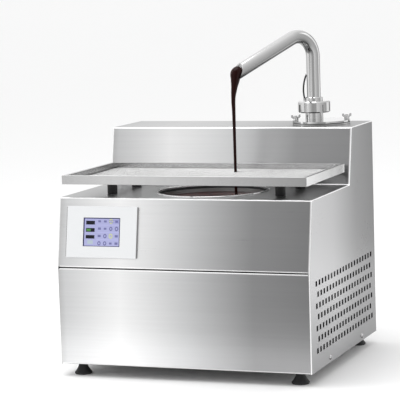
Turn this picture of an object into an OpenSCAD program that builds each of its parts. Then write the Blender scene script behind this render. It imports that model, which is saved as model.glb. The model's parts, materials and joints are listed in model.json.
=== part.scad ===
// Table-top chocolate melter with a screw pump, a touch panel and a lift-off grid tray.
// The frame's origin is on the floor, under the middle of the body; +X is the user's right, -Y is the front.

/* [Body] */
// Width of the body over the side panels
body_w = 420; // [400:1:520]
// Depth of the body from the front panel to the rear panel
body_d = 372; // [366:1:460]
// Height of the seam under the leaning panel, above the body's lower edge
seam_h = 155; // [140:1:165]
// Height of the deck above the body's lower edge
deck_h = 266; // [256:1:300]
// Height of the rear housing above the body's lower edge
housing_h = 358; // [345:1:420]
// How far the leaning front panel is set back at the deck
front_set_back = 20.4; // [10:0.1:24]
// Distance from the front panel to the foot of the splash face
splash_foot = 226.7; // [224:0.1:240]
// How far the splash face leans back at the top of the housing
splash_set_back = 19; // [10:0.5:24]

/* [Sheet metal] */
// Thickness of the stainless sheet
sheet_t = 1.2; // [1:0.1:1.5]
// Inside radius of a bend
bend_r = 1.3; // [1:0.1:2]
// Inside radius of the folds along the front, the deck and the top
fold_r = 2.2; // [2.1:0.1:4]
// Width of the flanges turned inwards
flange_w = 12; // [9:0.5:14]
// Gap at the seam under the leaning panel
seam_gap = 0.8; // [0.4:0.1:1.5]
// Thickness of the base pan
pan_t = 1.5; // [1.2:0.1:2]
// Height of the base pan's upturned flanges
pan_flange_h = 22; // [16:1:24]

/* [Side vents] */
// Width and height of a square vent hole
vent_hole = 8.5; // [6:0.5:10]
// Spacing of the holes along a row
vent_pitch_y = 16.3; // [14:0.1:17]
// Spacing of the rows
vent_pitch_z = 17.4; // [14:0.1:18]
// Number of rows
vent_rows = 7; // [3:1:7]
// Number of holes in a long row; a short row has one less
vent_count = 20; // [10:1:20]
// Height of the lowest row above the body's lower edge
vent_low = 31; // [31:1:36]
// Distance from the front panel to the first hole
vent_front = 33.7; // [28:0.1:36]

/* [Feet] */
// Height of the rubber feet
foot_h = 20; // [16:1:30]
// Radius of a foot on the floor
foot_r = 14; // [12:0.5:17]
// Radius of a foot's neck under the body
foot_neck_r = 6.4; // [6:0.1:9]
// Distance of a foot's axis from the sides, the front and the rear
foot_inset = 27; // [24:1:40]

/* [Touch panel] */
// Width of the white bezel
bezel_w = 121; // [110:1:140]
// Height of the bezel along the leaning panel
bezel_h = 82; // [72:1:88]
// How far the bezel stands out of the panel
bezel_t = 3.2; // [2:0.1:5]
// Distance of the bezel from the body's left side
bezel_left = 15.3; // [12:0.1:40]
// Distance of the bezel above the seam, along the panel
bezel_low = 16.3; // [14:0.1:20]
// Width of the display window
window_w = 63; // [50:1:76]
// Height of the display window
window_h = 45.5; // [36:0.5:54]
// Depth of the electronics case behind the panel
display_depth = 28; // [20:1:36]

/* [Melting bowl] */
// Radius of the round hole in the deck
bowl_hole_r = 87.5; // [80:0.5:90]
// Distance of the bowl's axis right of the body's middle
bowl_x = 12; // [0:1:20]
// Distance of the bowl's axis from the front panel
bowl_front = 125; // [122:1:128]
// Depth of the bowl from its flange to the sump's floor
bowl_depth = 168; // [150:1:172]
// Thickness of the bowl's wall
bowl_t = 1.5; // [1:0.1:2]
// Radius of the sump under the cone
sump_r = 34; // [30:1:40]
// Depth of the sump
sump_h = 32; // [31:1:38]
// Thickness of the black seal under the deck
seal_t = 3.8; // [2.5:0.1:5]
// Radius of the bead round the hole
bead_r = 1.8; // [1:0.1:2.5]

/* [Agitator and pump] */
// Radius of the agitator's shaft
stir_shaft_r = 6; // [5:0.5:8]
// Reach of the agitator's scraper arms inside the cone's top
stir_gap = 5; // [3:0.5:8]
// Distance of the pump's axis right of the body's middle
pump_x = 137; // [125:1:138]
// Distance of the pump's axis from the front panel
pump_front = 318; // [312:1:318]
// Outer radius of the pump barrel
barrel_r = 22; // [20:0.5:24]
// Thickness of the barrel's wall
barrel_t = 2.5; // [2:0.1:3]
// Pitch of the pump screw
screw_pitch = 30; // [24:1:40]
// Thickness of the screw's flight
flight_t = 3.5; // [3:0.1:5]
// Radius of the screw's core
screw_core_r = 7.5; // [7:0.5:9]
// Outer radius of the pipe from the sump to the pump
pipe_r = 14; // [12:0.5:15]
// Width of a gearbox
gearbox_w = 66; // [60:1:72]
// Height of a gearbox
gearbox_h = 50; // [44:1:54]
// Radius of a gearbox's motor
motor_r = 28; // [24:1:28]
// Length of a gearbox's motor
motor_l = 98; // [80:1:105]

/* [Pump head] */
// Radius of the round flange on the housing
flange_r = 48; // [47:0.5:52]
// Thickness of the barrel's seat on the housing
seat_t = 2; // [1.5:0.1:3]
// Thickness of the gasket
gasket_t = 1; // [0.6:0.1:1.5]
// Thickness of the clamped flange
head_t = 3; // [2.5:0.1:5]
// Distance of the outlet neck left of the pump's axis
neck_offset = 12; // [6:0.5:13]
// Outer radius of the neck
neck_r = 14.9; // [14:0.1:16]
// Height of the neck from the flange to the union nut
neck_h = 12.7; // [10:0.1:20]
// Radius of the union's threaded end
union_thread_r = 21.7; // [20:0.1:22]
// Outer radius of the union nut
union_nut_r = 27; // [26:0.1:30]
// Height of the union nut
union_nut_h = 19; // [18:0.5:24]
// Distance of the wing nuts from the pump's axis
stud_ring_r = 42.5; // [42:0.5:43]
// Radius of the studs
stud_r = 2.5; // [2:0.1:2.8]
// Height of a wing nut's body
wing_nut_h = 5; // [4:0.5:7]

/* [Spout] */
// Outer radius of the spout tube
spout_r = 11.5; // [10.5:0.1:12]
// Wall of the spout tube
spout_t = 1.5; // [1:0.1:2]
// Height of the bend's centre above the housing
spout_rise = 111.6; // [100:0.1:140]
// Radius of the bend at the tube's middle
spout_bend_r = 34; // [30:0.5:45]
// Slope of the outlet arm below level
spout_slope = 23; // [15:0.5:35]
// Level distance from the riser to the middle of the mouth
spout_reach = 162; // [150:1:170]
// Heading of the arm, turned from the front towards the left
spout_heading = 31.6; // [26:0.1:34]
// How far the mouth's cut leans from plumb, lower lip forward
mouth_lean = 22; // [0:1:30]
// Radius of the collar above the union nut
collar_r = 14.6; // [14.2:0.1:16]
// Height of the collar above the union nut
collar_h = 6.7; // [5:0.1:12]
// Radius of the thermometer lead beside the riser
lead_r = 1.4; // [1:0.1:1.8]

/* [Tray] */
// Gap between the tray's ends and the body's sides
tray_side_gap = 6.3; // [6:0.1:20]
// Distance of the tray's front from the body's front
tray_front = 17; // [10:1:30]
// Gap between the tray and the splash face
tray_rear_gap = 8; // [1.5:0.1:12]
// Height of the tray's rim
rim_h = 14; // [12:0.5:20]
// Width of the rim's lower flange
rim_flange_w = 12; // [10:0.5:16]
// Width of the rim's upper edge
rim_lip_w = 6; // [4:0.5:8]
// Height of the tray's rubber feet
tray_foot_h = 21; // [18:1:40]
// Radius of the tray's rubber feet
tray_foot_r = 8; // [6:0.5:8]
// Distance of the tray's feet left and right of the body's middle
tray_foot_x = 142; // [136:1:150]
// Distance from the body's front to the front pair of feet
tray_foot_front = 76; // [70:1:100]
// Distance between the front and the rear pair of feet
tray_foot_spacing = 102; // [70:1:105]
// Radius of the grid's wires
wire_r = 1.1; // [0.8:0.1:1.4]
// Spacing of the grid's wires
wire_pitch = 14; // [12:0.5:16]

/* [Cooling fan] */
// Width of the fan's square frame
fan_w = 92; // [80:1:92]
// Depth of the fan's frame
fan_depth = 25; // [20:1:30]
// Distance of the fan's axis left of the body's middle
fan_x = 105; // [90:1:115]
// Height of the fan's axis above the body's lower edge
fan_z = 168; // [150:1:190]
// Number of blades
blade_count = 7; // [5:1:9]

/* [Hidden] */

// Fineness of the round forms
$fn = 64;
// Overrun of every cut
over = 0.5;
// Gap left round a piece that moves
run_gap = 0.3;
// Radial play of a shaft in its bearing
shaft_play = 0.05;
// Play of a panel or case in its opening
fit_gap = 0.4;
// Steps in a bend's arc
arc_steps = 6;
// Steps in the rolled edge's quarter turn
roll_steps = 4;

// Levels above the floor
z_base = foot_h;
z_seam = z_base + seam_h;
z_deck = z_base + deck_h;
z_top = z_base + housing_h;
// Rows from the front to the rear
y_front = -body_d / 2;
y_back = body_d / 2;
y_deck_front = y_front + front_set_back;
y_splash_foot = y_front + splash_foot;
y_splash_top = y_splash_foot + splash_set_back;
// The rear panel lies over the flanges behind this row
y_rear = y_back - sheet_t;
x_side = body_w / 2;
x_inner = x_side - sheet_t;

// Radius of the rolled edge between the cover and the side panels
edge_r = bend_r + sheet_t;
// Width of the sheets that lie between the rolled edges
skin_w = body_w - 2 * edge_r;

// Fasteners
screw_r = 2;
screw_head_r = 4;
screw_head_h = 2.2;
screw_crown_share = 0.6;
side_screw_rows = [98, 280];
side_screw_h = 8;
side_screw_l = 8;
rear_screw_l = 8;
rear_screw_shares = [0.12, 0.5, 0.9];
// How deep welded wires sink into each other
weld_sink = 0.3;

// Base pan and feet
z_floor = z_base + sheet_t + pan_t;
pan_w = 2 * x_inner;
pan_d = body_d - 2 * (sheet_t + fold_r) - fit_gap;
foot_lip_h = 3;
foot_bevel = 1;
foot_stud_r = 3;
foot_stud_l = 10;
foot_nut_r = 6;
foot_nut_h = 4;

// Touch panel, measured on the leaning face
lean = atan2(front_set_back, deck_h - seam_h - seam_gap);
bezel_x = bezel_left + bezel_w / 2;
bezel_y = bezel_low + bezel_h / 2;
bezel_corner_r = 3;
window_depth = 0.8;
glass_lap = 3;
glass_w = window_w + 2 * glass_lap;
glass_h = window_h + 2 * glass_lap;
case_lap = 5;
case_w = bezel_w - 2 * case_lap;
case_h = bezel_h - 2 * case_lap;
clip_w = 12;
clip_t = 3;
clip_l = 8;

// Bowl
bowl_y = y_front + bowl_front;
bowl_lip = 3;
bowl_r = bowl_hole_r - bowl_lip;
bowl_flange_w = 12.5;
bowl_flange_r = bowl_hole_r + bowl_flange_w;
bowl_stud_out = 7.5;
bowl_stud_ring_r = bowl_hole_r + bowl_stud_out;
bowl_stud_count = 6;
bowl_stud_r = 2;
bowl_nut_r = 4;
bowl_nut_h = 3.2;
clamp_t = 3;
cone_h = 28;
z_bowl = z_deck - sheet_t - seal_t;
z_sump = z_bowl - bowl_depth;
heater_t = 3;
heater_drop = 30;
heater_h = 64;
sensor_r = 2.5;
sensor_reach = 9;
sensor_drop = 16;
sensor_heading = 180;

// Agitator and gearboxes
stir_seal_w = 8;
stir_seal_r = stir_shaft_r + stir_seal_w;
stir_hub_w = 7;
stir_hub_r = stir_shaft_r + stir_hub_w;
stir_hub_h = 30;
stir_turn = 25;
seal_drop = 7;
arm_t = 5;
arm_w = 14;
arm_rise = 30;
plinth_h = 8;
gear_offset = 25;
gear_front = gearbox_w / 2;
gear_rear = motor_r + gear_offset;
gear_cut_share = 0.12;
gear_boss_w = 6;
gear_boss_h = 4;
motor_cap_l = 8;
motor_cap_share = 0.9;
terminal_w = 34;
terminal_share = 0.8;
terminal_h = 12;
terminal_sink = 5;

// Pump
pump_y = y_front + pump_front;
neck_x = pump_x - neck_offset;
barrel_in_r = barrel_r - barrel_t;
drive_step = 1.5;
drive_r = screw_core_r - drive_step;
z_pipe = z_sump + sump_h / 2;
pipe_heading = atan2(pump_y - bowl_y, pump_x - bowl_x);
pipe_run = norm([pump_x - bowl_x, pump_y - bowl_y]);
barrel_below = 12;
z_barrel = z_pipe - pipe_r - barrel_below;
auger_seal_h = 8;
screw_gap = 1;
z_screw = z_barrel + auger_seal_h + screw_gap;
screw_below = 2;
z_screw_top = z_top - screw_below;
flight_steps = 4;
flight_slices = 18;
flight_fn = 8;
barrel_foot_w = 12;
barrel_foot_t = 3;
stand_gap = 2;
stand_t = 3;
stand_w = 50;
heater_gap = 14;

// Pump head and union
z_head = z_top + seat_t + gasket_t + head_t;
z_nut = z_head + neck_h;
stud_heading = 20.5;
stud_spare = 3;
wing_root_r = 4.6;
wing_span = 8.6;
wing_top = 9;
wing_t = 1.8;
wing_turn = 28;
wing_in_share = 0.6;
wing_low_share = 0.7;
wing_top_share = 0.8;
male_below = 7.7;
male_h = union_nut_h - male_below;
union_seal_t = 1.5;
shoulder_t = 3;
z_shoulder = z_nut + male_h + union_seal_t + run_gap / 2;
nut_bevel = 1.8;
nut_slot_count = 4;
nut_slot_turn = 45;
nut_slot_w = 6;
nut_slot_depth = 1.6;
collar_bevel = 1.2;
z_collar_top = z_nut + union_nut_h + collar_h;

// Spout: the arm's start is measured from the middle of the bend's lower end
z_bend = z_top + spout_rise;
arm_x = spout_bend_r * (1 + sin(spout_slope));
arm_z = spout_bend_r * cos(spout_slope);
mouth_z = arm_z - (spout_reach - arm_x) * tan(spout_slope);
arm_l = (spout_reach - arm_x) / cos(spout_slope) + 2 * spout_r;
mouth_cut = 4 * spout_r;
lead_heading = 200.5;
lead_stand = 0.5;
lead_top_r = spout_r + lead_stand;
socket_stand = 1;
lead_low_r = collar_r + socket_stand;
lead_boss_r = 2.4;
lead_boss_h = 4.2;
lead_bow = 3;
z_lead_low = z_nut + union_nut_h + 2 * run_gap + lead_boss_h;
lead_rise = 38.5;
z_lead_top = z_lead_low + lead_rise;

// Tray
z_tray = z_deck + tray_foot_h;
tray_w = body_w - 2 * tray_side_gap;
tray_back = y_splash_foot + splash_set_back * tray_foot_h / (housing_h - deck_h) - tray_rear_gap;
tray_d = tray_back - y_front - tray_front;
tray_y = (tray_back + y_front + tray_front) / 2;
bar_spare = 5;
grid_bar_w = 5;
grid_bar_t = 2;
grid_bar_shares = [-1, -0.5, 0, 0.5, 1];
tray_head_h = 1.4;
tray_screw_l = 10;

// Electrics
psu_w = 98;
psu_d = 158;
psu_h = 38;
psu_x = -148;
psu_y = 50;
psu_slot_count = 5;
psu_slot_w = 6;
psu_slot_share = 0.7;
psu_slot_depth = 2;
board_w = 130;
board_h = 90;
board_t = 1.6;
board_gap = 12;
board_y = 30;
board_z = 140;
board_edge = 6;
spacer_r = 3;
relay_count = 4;
relay_pitch = 24;
relay_size = 16;
terminal_row_share = 0.8;
terminal_block_share = 0.6;
fan_rim = 3;
fan_bore_r = fan_w / 2 - fan_rim;
fan_corner_r = 4;
fan_hole_inset = 4.75;
fan_hole_spacing = fan_w - 2 * fan_hole_inset;
fan_hub_r = 19;
fan_pin_r = 3;
strut_t = 3;
strut_w = 5;
strut_count = 4;
blade_t = 2;
blade_gap = 1;
blade_turn = 38;
guard_rings = 4;
guard_wire_r = 1;
guard_lap = 2;
guard_ring_r = fan_bore_r + guard_lap;
guard_reach = fan_hole_spacing / 2 * sqrt(2);
guard_screw_l = 10;
power_x = 50;
inlet_rise = 36;
inlet_z = z_base + inlet_rise;
inlet_w = 27;
inlet_h = 20;
inlet_l = 22;
inlet_flange_t = 2;
inlet_flange_w = 6;
socket_w = 24;
socket_h = 16;
socket_l = 16;
inlet_pin_w = 4;
inlet_pin_t = 2;
inlet_pin_shares = [[-0.3, -0.12], [0, 0.16], [0.3, -0.12]];
switch_rise = 70;
switch_z = z_base + switch_rise;
switch_w = 16;
switch_h = 23;
rocker_w = 11;
rocker_r = 9;
rocker_lip = 5;
rocker_back = 3;
rocker_drop = 3;
rocker_dip_share = 0.7;
rocker_pocket = 9;
rocker_pin_r = 1.5;
rocker_pin_l = 1.2;
rocker_tilt = 10;
louvre_count = 6;
louvre_w = 70;
louvre_h = 4;
louvre_pitch = 11;
louvre_x = 50;
louvre_low = 150;

// The outside of the body seen from the right, from the front's lower edge up and over to the rear
BODY_PATH = [[y_front, z_base], [y_front, z_seam], [y_deck_front, z_deck],
    [y_splash_foot, z_deck], [y_splash_top, z_top], [y_rear, z_top], [y_rear, z_base]];
// The cover's part of that line, with a flange at each end
COVER_PATH = [[y_front + flange_w, z_seam + seam_gap], [y_front, z_seam + seam_gap],
    [y_deck_front, z_deck], [y_splash_foot, z_deck], [y_splash_top, z_top], [y_rear, z_top],
    [y_rear, z_top - flange_w]];
FRONT_PATH = [[y_front + flange_w, z_base], [y_front, z_base], [y_front, z_seam],
    [y_front + flange_w, z_seam]];

// Directions and turns along a path
function unit(v) = v / norm(v);
function leftward(v) = [-v.y, v.x];
function arriving(p, i) = unit(p[i] - p[i - 1]);
function leaving(p, i) = unit(p[i + 1] - p[i]);
function turning(p, i) = atan2(cross(arriving(p, i), leaving(p, i)),
    arriving(p, i) * leaving(p, i));
// The sheet lies right of its path, so a right turn is the outside of a bend
function skin_r(p, i, r, t) = turning(p, i) < 0 ? r + t : r;
function bend_centre(p, i, r, t) =
    let (a = turning(p, i), k = skin_r(p, i, r, t))
    p[i] - arriving(p, i) * k * tan(abs(a) / 2) + leftward(arriving(p, i)) * k * sign(a);
// One bend as points, at the given distance from its centre
function bend_points(p, i, r, t, radius) =
    let (a = turning(p, i), c = bend_centre(p, i, r, t),
        out = -leftward(arriving(p, i)) * sign(a))
    [for (s = [0:arc_steps]) let (w = a * s / arc_steps)
        c + radius * [out.x * cos(w) - out.y * sin(w), out.x * sin(w) + out.y * cos(w)]];
// The path's line pushed to the right by depth, with its bends rounded
function pushed_line(p, r, t, depth) = concat(
    [p[0] - leftward(leaving(p, 0)) * depth],
    [for (i = [1:len(p) - 2]) each bend_points(p, i, r, t,
        skin_r(p, i, r, t) + (turning(p, i) < 0 ? -depth : depth))],
    [p[len(p) - 1] - leftward(arriving(p, len(p) - 1)) * depth]);
function backwards(v) = [for (i = [len(v) - 1:-1:0]) v[i]];

// A flat outline in the Y-Z plane, pulled out along X and centred
module along_x(width) {
    rotate([90, 0, 90]) translate([0, 0, -width / 2]) linear_extrude(width) children();
}
// A flat outline in the X-Z plane, pulled out towards the rear
module along_y(depth) {
    translate([0, depth, 0]) rotate([90, 0, 0]) linear_extrude(depth) children();
}
module bent_sheet(path, width) {
    along_x(width) polygon(concat(pushed_line(path, fold_r, sheet_t, 0),
        backwards(pushed_line(path, fold_r, sheet_t, sheet_t))));
}
// A ring or a tube standing on its lower end
module tube(outer, inner, h) {
    difference() {
        cylinder(r = outer, h = h);
        translate([0, 0, -over]) cylinder(r = inner, h = h + 2 * over);
    }
}
module rounded_rect(w, h, r) {
    square([w - 2 * r, h], center = true);
    square([w, h - 2 * r], center = true);
    for (x = [-1, 1], y = [-1, 1]) translate([x * (w / 2 - r), y * (h / 2 - r)]) circle(r);
}
module block(size) { translate([-size.x / 2, -size.y / 2, 0]) cube(size); }

// Housing

// Straight stretch i of the body's line, between its bends
function trim(p, i) = i == 0 || i == len(p) - 1 ? 0
    : skin_r(p, i, fold_r, sheet_t) * tan(abs(turning(p, i)) / 2);
function run_start(p, i) = p[i] + leaving(p, i) * trim(p, i);
function run_end(p, i) = p[i + 1] - leaving(p, i) * trim(p, i + 1);

// Local X stays across the body, local Y points into it and local Z runs along the stretch
module along_run(p, i) {
    d = leaving(p, i);
    a = run_start(p, i);
    multmatrix([[1, 0, 0, 0], [0, d.y, d.x, a.x], [0, -d.x, d.y, a.y], [0, 0, 0, 1]])
        children();
}
function run_length(p, i) = norm(run_end(p, i) - run_start(p, i));

// The rolled edge that joins the right side panel to the cover: a quarter of a pipe wall that
// follows the body's line, given as its points and its faces
module rolled_edge() {
    turns = [for (k = [0:roll_steps]) 90 * k / roll_steps];
    ring = concat([for (t = turns) [edge_r, t]], [for (t = backwards(turns)) [bend_r, t]]);
    lines = [for (q = ring) pushed_line(BODY_PATH, fold_r, sheet_t, edge_r - q[0] * cos(q[1]))];
    m = len(ring);
    last = len(lines[0]) - 1;
    polyhedron(
        points = [for (i = [0:last], j = [0:m - 1])
            [x_side - edge_r + ring[j][0] * sin(ring[j][1]), lines[j][i].x, lines[j][i].y]],
        faces = concat([[for (j = [0:m - 1]) j]],
            [for (i = [0:last - 1], j = [0:m - 1])
                [i * m + j, (i + 1) * m + j, (i + 1) * m + (j + 1) % m, i * m + (j + 1) % m]],
            [[for (j = [m - 1:-1:0]) last * m + j]]));
}
// Strips inside the panel on which the cover, the front and the rear are fastened
module lap_strips() {
    p = BODY_PATH;
    last = len(p) - 2;
    margin = 2 * edge_r;
    for (i = [0:last]) along_run(p, i)
        if (i < last) translate([x_inner - flange_w, sheet_t, margin])
            cube([flange_w, sheet_t, run_length(p, i) - 2 * margin]);
        else translate([x_side - edge_r - flange_w, 0, flange_w])
            cube([flange_w, sheet_t, run_length(p, i) - flange_w - margin]);
}
module vent_holes() {
    for (row = [0:vent_rows - 1]) {
        short = row % 2;
        for (i = [0:vent_count - 1 - short])
            translate([y_front + vent_front + (i + short / 2) * vent_pitch_y - vent_hole / 2,
                z_base + vent_low + row * vent_pitch_z - vent_hole / 2]) square(vent_hole);
    }
}
module side_screw_places() {
    for (y = side_screw_rows) translate([y_front + y, z_base + side_screw_h]) children();
}
module side_panel(vented) {
    translate([x_inner + sheet_t / 2, 0, 0]) along_x(sheet_t) difference() {
        polygon(pushed_line(BODY_PATH, fold_r, sheet_t, edge_r));
        side_screw_places() circle(screw_r + fit_gap / 2);
        if (vented) vent_holes();
    }
    rolled_edge();
    difference() {
        lap_strips();
        translate([0, y_rear - flange_w, 0]) along_y(flange_w + over)
            rear_screw_places() circle(screw_r + fit_gap / 2);
    }
}
module right_side_panel() { color("silver") side_panel(true); }
module left_side_panel() { color("silver") mirror([1, 0, 0]) side_panel(false); }

module top_cover() {
    color("silver") difference() {
        bent_sheet(COVER_PATH, skin_w);
        translate([bowl_x, bowl_y, z_deck - sheet_t - over])
            cylinder(r = bowl_hole_r, h = sheet_t + 2 * over, $fn = 128);
        translate([pump_x, pump_y, z_top - sheet_t - over])
            cylinder(r = barrel_r + fit_gap, h = sheet_t + 2 * over);
        on_front(bezel_x, bezel_y, -sheet_t - over) linear_extrude(sheet_t + 2 * over)
            square([case_w + fit_gap, case_h + fit_gap], center = true);
    }
}
module front_panel() { color("silver") bent_sheet(FRONT_PATH, skin_w); }

module rear_panel() {
    color("silver") translate([0, y_rear, 0]) along_y(sheet_t) difference() {
        translate([-skin_w / 2, z_base]) square([skin_w, housing_h - edge_r]);
        translate([-fan_x, z_base + fan_z]) circle(fan_bore_r);
        translate([power_x, inlet_z]) square([inlet_w, inlet_h], center = true);
        translate([power_x, switch_z]) square([switch_w, switch_h], center = true);
        rear_screw_places() circle(screw_r + fit_gap / 2);
        fan_screw_places() circle(screw_r + fit_gap / 2);
        for (i = [0:louvre_count - 1]) translate([louvre_x, z_base + louvre_low + i * louvre_pitch])
            rounded_rect(louvre_w, louvre_h, louvre_h / 2 - fit_gap / 2);
    }
}
module rear_screw_places() {
    for (x = [-1, 1], h = rear_screw_shares)
        translate([x * (x_side - edge_r - flange_w / 2), z_base + housing_h * h]) children();
}
module base_pan() {
    color("gray") difference() {
        translate([0, 0, z_base + sheet_t]) difference() {
            block([pan_w, pan_d, pan_flange_h]);
            translate([0, 0, pan_t]) block([pan_w - 2 * pan_t, pan_d - 2 * pan_t, pan_flange_h]);
        }
        foot_places() translate([0, 0, z_base]) cylinder(r = foot_stud_r, h = pan_flange_h);
        along_x(body_w) side_screw_places() circle(screw_r + fit_gap / 2);
    }
}
// A pan-head screw that points down, its head on the level of the origin
module screw(length) {
    cylinder(r1 = screw_head_r, r2 = screw_head_r * screw_crown_share, h = screw_head_h);
    translate([0, 0, -length]) cylinder(r = screw_r, h = length);
}
module panel_screws() {
    color("silver") {
        for (side = [-1, 1], y = side_screw_rows)
            translate([side * x_side, y_front + y, z_base + side_screw_h])
                rotate([0, side * 90, 0]) screw(side_screw_l);
        for (x = [-1, 1], h = rear_screw_shares)
            translate([x * (x_side - edge_r - flange_w / 2), y_back, z_base + housing_h * h])
                rotate([-90, 0, 0]) screw(rear_screw_l);
    }
}
// Feet
module foot_places() {
    for (x = [-1, 1], y = [-1, 1])
        translate([x * (x_side - foot_inset), y * (body_d / 2 - foot_inset), 0]) children();
}
module foot(x, y) {
    waist = [for (i = [0:arc_steps]) let (s = i / arc_steps)
        [foot_neck_r + (foot_r - foot_neck_r) * pow(1 - s, 2), foot_lip_h + s * (foot_h - foot_lip_h)]];
    color("#1c1c1e") translate([x * (x_side - foot_inset), y * (body_d / 2 - foot_inset), 0]) {
        rotate_extrude() polygon(concat([[0, 0], [foot_r - foot_bevel, 0], [foot_r, foot_bevel]],
            waist, [[foot_neck_r, foot_h + sheet_t], [0, foot_h + sheet_t]]));
        translate([0, 0, foot_h]) cylinder(r = foot_stud_r, h = foot_stud_l);
    }
}
module foot_front_left() { foot(-1, -1); }
module foot_front_right() { foot(1, -1); }
module foot_rear_left() { foot(-1, 1); }
module foot_rear_right() { foot(1, 1); }
module foot_nuts() {
    color("silver") foot_places() translate([0, 0, z_floor]) difference() {
        cylinder(r = foot_nut_r, h = foot_nut_h, $fn = 6);
        translate([0, 0, -over]) cylinder(r = foot_stud_r, h = foot_nut_h + 2 * over);
    }
}
// Touch panel, drawn flat and then laid on the leaning front
module on_front(u, s, w) {
    translate([-x_side, y_front, z_seam + seam_gap]) rotate([90 - lean, 0, 0]) translate([u, s, w]) children();
}
module touch_bezel() {
    color("whitesmoke") on_front(bezel_x, bezel_y, 0) difference() {
        linear_extrude(bezel_t) rounded_rect(bezel_w, bezel_h, bezel_corner_r);
        translate([0, 0, -over]) linear_extrude(bezel_t + 2 * over)
            square([window_w, window_h], center = true);
        translate([0, 0, -over]) linear_extrude(bezel_t - window_depth + over)
            square([glass_w, glass_h], center = true);
    }
}
module display_glass() {
    color("#8d8fd0") on_front(bezel_x, bezel_y, 0) linear_extrude(bezel_t - window_depth)
        square([glass_w, glass_h], center = true);
}
module display_case() {
    color("#3a3a3e") on_front(bezel_x, bezel_y, -display_depth) linear_extrude(display_depth)
        square([case_w, case_h], center = true);
}
module display_clips() {
    color("#55555a") for (x = [-1, 1], y = [-1, 1])
        on_front(bezel_x + x * case_w / 4, bezel_y + y * (case_h + clip_t) / 2, -sheet_t - clip_l)
            linear_extrude(clip_l) square([clip_w, clip_t], center = true);
}
// Melting bowl
module at_bowl(z) { translate([bowl_x, bowl_y, z]) children(); }
module bowl_stud_places() {
    for (i = [0:bowl_stud_count - 1]) rotate([0, 0, (i + 0.5) * 360 / bowl_stud_count])
        translate([bowl_stud_ring_r, 0, 0]) children();
}
module bowl_bead() {
    color("silver") at_bowl(z_deck) rotate_extrude($fn = 128) translate([bowl_hole_r + bead_r, 0])
        intersection() { circle(bead_r, $fn = 32); translate([-bead_r, 0]) square([2 * bead_r, bead_r]); }
}
module bowl_seal() {
    color("#141416") at_bowl(z_deck - sheet_t - seal_t) difference() {
        cylinder(r = bowl_flange_r, h = seal_t, $fn = 128);
        translate([0, 0, -over]) cylinder(r = bowl_r + bowl_t, h = seal_t + 2 * over, $fn = 128);
        translate([0, 0, -over]) bowl_stud_places() cylinder(r = bowl_stud_r, h = seal_t + 2 * over, $fn = 24);
    }
}
module bowl() {
    wall = bowl_depth - sump_h - cone_h;
    color("#c9cacc") at_bowl(z_bowl) difference() {
        rotate_extrude($fn = 128) polygon([[bowl_r, 0], [bowl_flange_r, 0], [bowl_flange_r, -bowl_t],
            [bowl_r + bowl_t, -bowl_t], [bowl_r + bowl_t, -wall], [sump_r + bowl_t, -wall - cone_h],
            [sump_r + bowl_t, -bowl_depth - bowl_t], [stir_seal_r, -bowl_depth - bowl_t],
            [stir_seal_r, -bowl_depth], [sump_r, -bowl_depth], [sump_r, -wall - cone_h],
            [bowl_r, -wall]]);
        translate([0, 0, -bowl_t - over]) bowl_stud_places()
            cylinder(r = bowl_stud_r, h = bowl_t + 2 * over, $fn = 24);
        translate([0, 0, z_pipe - z_bowl]) rotate([0, 90, pipe_heading])
            cylinder(r = pipe_r - bowl_t, h = sump_r + 2 * bowl_t);
        translate([0, 0, -sensor_drop]) rotate([0, 90, sensor_heading]) translate([0, 0, bowl_r - over])
            cylinder(r = sensor_r, h = bowl_t + 2 * over, $fn = 24);
    }
}
module bowl_clamp_ring() {
    color("gray") at_bowl(z_bowl - bowl_t - clamp_t) difference() {
        cylinder(r = bowl_flange_r, h = clamp_t, $fn = 96);
        translate([0, 0, -over]) cylinder(r = bowl_r + bowl_t + fit_gap, h = clamp_t + 2 * over, $fn = 96);
        translate([0, 0, -over]) bowl_stud_places() cylinder(r = bowl_stud_r, h = clamp_t + 2 * over, $fn = 24);
    }
}
module bowl_fasteners() {
    stack = seal_t + bowl_t + clamp_t;
    color("silver") at_bowl(z_deck - sheet_t - stack) bowl_stud_places() {
        translate([0, 0, -bowl_nut_h - bowl_stud_r]) cylinder(r = bowl_stud_r,
            h = stack + bowl_nut_h + bowl_stud_r, $fn = 24);
        translate([0, 0, -bowl_nut_h]) cylinder(r = bowl_nut_r, h = bowl_nut_h, $fn = 6);
    }
}
module bowl_heater() {
    color("#c96a2c") at_bowl(z_bowl - heater_drop - heater_h) tube(bowl_r + bowl_t + heater_t,
        bowl_r + bowl_t, heater_h);
}
module bowl_sensor() {
    color("silver") at_bowl(z_bowl - sensor_drop) rotate([0, 90, sensor_heading])
        translate([0, 0, bowl_r - sensor_reach]) {
            cylinder(r = sensor_r, h = sensor_reach + bowl_t, $fn = 24);
            translate([0, 0, sensor_reach + bowl_t]) cylinder(r = 2 * sensor_r, h = sensor_reach, $fn = 6);
        }
}
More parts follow.
